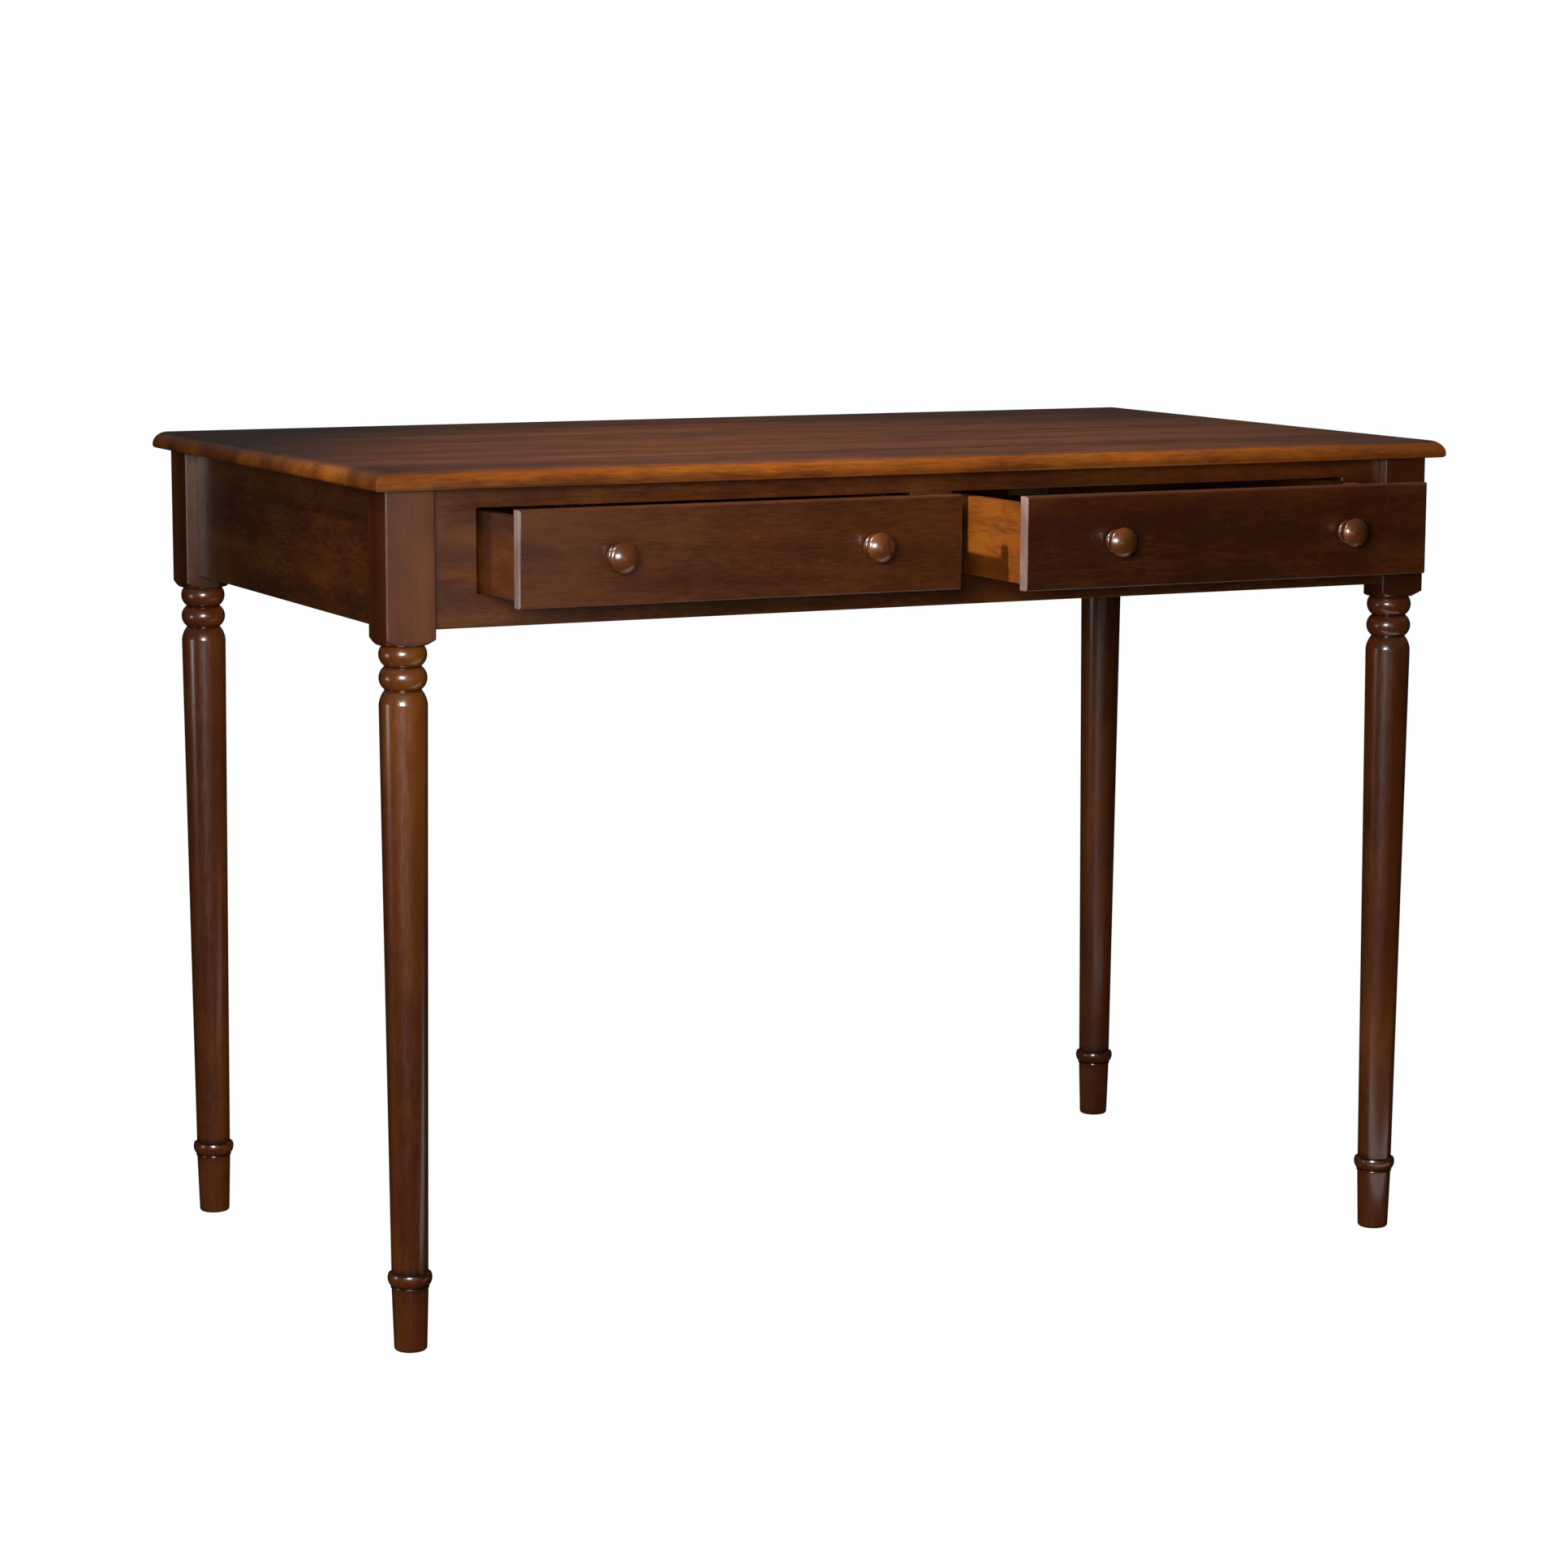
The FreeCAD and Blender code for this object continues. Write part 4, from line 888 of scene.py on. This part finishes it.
# %% Turn the knobs
KNOB_STEPS = 64
KNOB_BASE_RADIUS = 0.0085
KNOB_NECK_RADIUS = 0.007
KNOB_FLARE = (0.00745, 0.0008)
KNOB_BASE_TOP = 0.0016
COLLAR_RADIUS = 0.0105
COLLAR_TOP = 0.0052
WAIST_RADIUS = 0.0065
COVE = (0.00775, 0.00995)
RIM_LOW = 0.0147
RIM_TOP = 0.018
RIM_RADIUS = 0.0129
RIM_EDGE_RADIUS = 0.0115
KNOB_LENGTH = 0.0225
KNOB_GROOVE_WIDTH = 0.0006
OUTWARDS = Matrix.Rotation(math.pi / 2, 3, "X")

dome_height = KNOB_LENGTH - RIM_TOP
dome_radius = (RIM_EDGE_RADIUS ** 2 + dome_height ** 2) / (2 * dome_height)
dome_rise = math.sqrt(dome_radius ** 2 - (RIM_EDGE_RADIUS / 2) ** 2) - dome_radius + dome_height
outline = [(0, 0), (KNOB_BASE_RADIUS, 0)]
outline += arc(outline[-1], KNOB_FLARE, (KNOB_NECK_RADIUS, KNOB_BASE_TOP), ARC_STEPS // 2)
collar_middle = (COLLAR_RADIUS, (KNOB_BASE_TOP + COLLAR_TOP) / 2)
outline += arc(outline[-1], collar_middle, (WAIST_RADIUS, COLLAR_TOP), ARC_STEPS)
outline += arc(outline[-1], COVE, (RIM_EDGE_RADIUS, RIM_LOW), ARC_STEPS)
outline += arc(outline[-1], (RIM_RADIUS, (RIM_LOW + RIM_TOP) / 2), (RIM_EDGE_RADIUS, RIM_TOP), ARC_STEPS)
outline += arc(outline[-1], (RIM_EDGE_RADIUS / 2, RIM_TOP + dome_rise), (0, KNOB_LENGTH), 2 * ARC_STEPS)
knob = turn("knob", outline, KNOB_STEPS)
darken_grooves(knob, (0, KNOB_BASE_TOP, COLLAR_TOP), KNOB_GROOVE_WIDTH)
smooth(knob)
for drawer in DRAWERS:
    for hand in ("left", "right"):
        low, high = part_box(f"{drawer}_{hand}_knob")
        spot = ((low.x + high.x) / 2, high.y, (low.z + high.z) / 2)
        copy = copy_to(knob, f"{drawer}_{hand}_turned_knob", spot, OUTWARDS)
        settle(copy, f"{drawer}_{hand}_knob", knob_wood)
bpy.data.objects.remove(knob)

# %% [markdown]
# ## The hidden frame
# Runners carry the drawers, kickers keep them from tipping, blocks brace the corners and a stop on each
# drawer's back keeps it from falling out. They are sawn and left bare, but their colour is painted darker
# than bare wood, as painted shade for the dark inside of the desk. Their stepped sections come from the CAD
# pieces themselves: a copy has its loose triangles merged and its edges eased.

# %% Ease the bare pieces
BARE_EASE = 0.0005
FLAT_ANGLE = math.radians(1)


def eased_copy(node, name):
    """A copy of a CAD piece with merged triangles and softened edges."""
    make_active(frame["nodes"][node])
    bpy.ops.object.duplicate(linked=False)
    piece = bpy.context.active_object
    piece.name = name
    piece.parent = None
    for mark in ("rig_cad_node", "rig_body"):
        del piece[mark]
    bpy.ops.mesh.customdata_custom_splitnormals_clear()
    bpy.ops.object.mode_set(mode="EDIT")
    bpy.ops.mesh.select_all(action="SELECT")
    bpy.ops.mesh.remove_doubles(threshold=MERGE_DISTANCE)
    bpy.ops.mesh.dissolve_limited(angle_limit=FLAT_ANGLE)
    bpy.ops.object.mode_set(mode="OBJECT")
    ease(piece, BARE_EASE)
    smooth(piece)
    return piece


bare_nodes = [f"{place}_{kind}" for place in ("left", "centre", "right") for kind in ("runner", "kicker")]
bare_nodes += [f"corner_block_{corner}" for corner in LEG_TURNS]
bare_nodes += [f"{drawer}_stop" for drawer in DRAWERS]
for node in bare_nodes:
    settle(eased_copy(node, f"{node}_eased"), node, bare_wood)
for node in ("runner_dowels", "left_drawer_dowels", "right_drawer_dowels"):
    frame["nodes"][node].material_slots[0].material = bare_wood

# %% [markdown]
# ## The fasteners
# Screws hold the top, the stops and the knobs, and a bolt with a washer and a nut draws each leg into
# its corner. They are zinc plated: a bright, slightly cloudy metal. Two sizes of noise, one for the
# colour and one for the roughness, are enough for pieces so small.

# %% The zinc finish
ZINC_SHADES = ((0.42, 0.43, 0.43), (0.56, 0.56, 0.54), (0.68, 0.67, 0.63))
CLOUD_LUMPS = (260, 260, 3)
SPECK_LUMPS = (900, 900, 1)
SPECK_RANGE = (0.3, 0.7)
ZINC_ROUGHNESS = (0.28, 0.45)


def zinc_finish():
    """A cloudy plated metal."""
    finish = bpy.data.materials.new("zinc_plate")
    finish.use_nodes = True
    tree = finish.node_tree
    shader = tree.nodes["Principled BSDF"]
    place = tree.nodes.new("ShaderNodeTexCoord").outputs["Object"]
    clouds = lumps(tree, place, "z", *CLOUD_LUMPS)
    specks = lumps(tree, place, "z", *SPECK_LUMPS)
    join(tree, shade_by(tree, clouds, ZINC_SHADES), shader.inputs["Base Color"])
    join(tree, rescale(tree, specks, *SPECK_RANGE, *ZINC_ROUGHNESS), shader.inputs["Roughness"])
    shader.inputs["Metallic"].default_value = 1
    return finish


zinc = zinc_finish()
print("Metal finish:", zinc.name)

# %% [markdown]
# A screw's head is a low dome with a cross cut in it. The rest is buried in wood, so a plain rod with a
# point will do. Head and rod are spun from one outline, and two thin blocks cut the cross. The CAD model
# keeps the screws of one kind as one piece, so the copies are joined.

# %% Model the screws
SCREW_STEPS = 32
SHANK_RADIUS = 0.002
HEAD_RADIUS = 0.004
HEAD_HEIGHT = 0.0026
HEAD_RIM = 0.0007
HEAD_SHOULDER_SHARES = (0.7, 0.8)
POINT_LENGTH = 0.003
CROSS_LENGTH = 0.0044
CROSS_WIDTH = 0.0009
CROSS_DEPTH = 0.0013
SCREW_EASE = 0.00015
TOP_SCREW_SHARES = (0.14, 0.5, 0.86)
TOP_SCREW_SINK = 0.006
TOP_SCREW_LENGTH = 0.0225
STOP_SCREW_LENGTH = 0.02
STOP_SCREW_REACH = 0.012
STOP_SCREW_RISE = 0.01165
KNOB_SCREW_LENGTH = 0.026
BACKWARDS = Matrix.Rotation(-math.pi / 2, 3, "X")


def make_screw(length):
    """A pan-head screw that points up from the origin, with its head below."""
    shoulder = (HEAD_RADIUS * HEAD_SHOULDER_SHARES[0], -HEAD_HEIGHT * HEAD_SHOULDER_SHARES[1])
    dome = arc((0, -HEAD_HEIGHT), shoulder, (HEAD_RADIUS, -HEAD_RIM), ARC_STEPS)
    outline = [(0, -HEAD_HEIGHT), *dome, (HEAD_RADIUS, 0), (SHANK_RADIUS, 0),
               (SHANK_RADIUS, length - POINT_LENGTH), (0, length)]
    piece = turn("screw", outline, SCREW_STEPS)
    for across, along in ((CROSS_LENGTH, CROSS_WIDTH), (CROSS_WIDTH, CROSS_LENGTH)):
        corner = Vector((across / 2, along / 2, 0))
        slot = start_block("slot", -corner - Vector((0, 0, HEAD_HEIGHT + SPARE)),
                           corner - Vector((0, 0, HEAD_HEIGHT - CROSS_DEPTH)))
        combine(piece, slot, "DIFFERENCE")
    ease(piece, SCREW_EASE)
    smooth(piece)
    return piece


def settle_copies(master, node, name, places):
    """Copies of one fastener at several places, joined into the piece that stands for a node."""
    copies = [copy_to(master, f"{name}_{number}", spot, pose) for number, (spot, pose) in enumerate(places)]
    make_active(copies[0])
    for copy in copies:
        copy.select_set(True)
    bpy.ops.object.join()
    whole = bpy.context.active_object
    whole.name = name
    settle(whole, node, zinc)
    bpy.data.objects.remove(master)


places = []
for place in ("left", "centre", "right"):
    low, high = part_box(f"{place}_kicker")
    for share in TOP_SCREW_SHARES:
        spot = Vector(((low.x + high.x) / 2, low.y + (high.y - low.y) * share, low.z + TOP_SCREW_SINK))
        places.append((spot, None))
settle_copies(make_screw(TOP_SCREW_LENGTH), "top_screws", "top_cross_screws", places)
for drawer in DRAWERS:
    low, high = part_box(f"{drawer}_stop")
    middle = (low.x + high.x) / 2
    places = [(Vector((middle + side * STOP_SCREW_REACH, low.y, low.z + STOP_SCREW_RISE)), BACKWARDS)
              for side in (-1, 1)]
    screw = make_screw(STOP_SCREW_LENGTH)
    settle_copies(screw, f"{drawer}_stop_screws", f"{drawer}_stop_cross_screws", places)
    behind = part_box(f"{drawer}_front")[1].y
    places = []
    for hand in ("left", "right"):
        low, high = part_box(f"{drawer}_{hand}_knob")
        places.append((Vector(((low.x + high.x) / 2, behind, (low.z + high.z) / 2)), OUTWARDS))
    screw = make_screw(KNOB_SCREW_LENGTH)
    settle_copies(screw, f"{drawer}_knob_screws", f"{drawer}_knob_cross_screws", places)

# %% [markdown]
# The bolts' threaded ends stand free behind the corner blocks. A row of fine rings looks like a thread at
# this size, and unlike a helix it can be spun from a zigzag outline. The washer is a spun ring. The nut
# is a six-sided block, whose corners a spun lens turns off and through which a rod cuts the bore.

# %% Model the bolts, washers and nuts
BOLT_RADIUS = 0.004
BOLT_CORE = 0.0034
BOLT_START = 0.0005
BOLT_LENGTH = 0.0591
THREAD_START = 0.036
THREAD_PITCH = 0.00125
BOLT_HEIGHT = 0.70225
BOLT_TURN = 45
SIDEWAYS = Matrix.Rotation(math.pi / 2, 3, "Y")
WASHER_SEAT = 0.04702
WASHER_RADIUS = 0.009
WASHER_THICKNESS = 0.0016
NUT_SIDES = 6
NUT_RADIUS = 0.0075
NUT_FACE_RADIUS = 0.0066
NUT_HEIGHT = 0.0065
NUT_CORNER = 0.0006
BORE_RADIUS = 0.0041


def bolt_places(distance):
    """A spot on each leg's bolt line and the turn that points inwards along it."""
    places = []
    for corner, degrees in LEG_TURNS.items():
        low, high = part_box(f"leg_{corner}")
        pose = Matrix.Rotation(math.radians(degrees + BOLT_TURN), 3, "Z") @ SIDEWAYS
        spot = Vector(((low.x + high.x) / 2, (low.y + high.y) / 2, BOLT_HEIGHT))
        places.append((spot + pose @ Vector((0, 0, distance)), pose))
    return places


outline = [(0, BOLT_START), (BOLT_RADIUS, BOLT_START)]
turns = int((BOLT_LENGTH - THREAD_START) / THREAD_PITCH)
for number in range(turns):
    height = THREAD_START + number * THREAD_PITCH
    outline += [(BOLT_RADIUS, height), (BOLT_CORE, height + THREAD_PITCH / 2)]
outline += [(BOLT_CORE, BOLT_LENGTH), (0, BOLT_LENGTH)]
bolt = turn("bolt", outline, SCREW_STEPS)
smooth(bolt)
settle_copies(bolt, "leg_bolts", "leg_threaded_bolts", bolt_places(0))

ring = [(BORE_RADIUS, 0), (WASHER_RADIUS, 0)]
ring += [(WASHER_RADIUS, WASHER_THICKNESS), (BORE_RADIUS, WASHER_THICKNESS)]
washer = turn("washer", [*ring, ring[0]], SCREW_STEPS)
ease(washer, SCREW_EASE)
smooth(washer)
settle_copies(washer, "leg_washers", "leg_flat_washers", bolt_places(WASHER_SEAT))

bpy.ops.object.select_all(action="DESELECT")
bpy.ops.mesh.primitive_cylinder_add(
    vertices=NUT_SIDES, radius=NUT_RADIUS, depth=NUT_HEIGHT + 2 * SPARE, location=(0, 0, NUT_HEIGHT / 2))
nut = bpy.context.active_object
bpy.ops.object.transform_apply(location=True, rotation=True, scale=True)
lens = [(0, 0), (NUT_FACE_RADIUS, 0), (NUT_RADIUS, NUT_CORNER), (NUT_RADIUS + SPARE, NUT_CORNER + SPARE)]
lens += [(radius, NUT_HEIGHT - height) for radius, height in reversed(lens)]
combine(nut, turn("lens", lens, SCREW_STEPS), "INTERSECT")
bore_top = NUT_HEIGHT + SPARE
bore = [(0, -SPARE), (BORE_RADIUS, -SPARE), (BORE_RADIUS, bore_top), (0, bore_top)]
combine(nut, turn("bore", bore, SCREW_STEPS), "DIFFERENCE")
smooth(nut)
settle_copies(nut, "leg_nuts", "leg_hex_nuts", bolt_places(WASHER_SEAT + WASHER_THICKNESS))
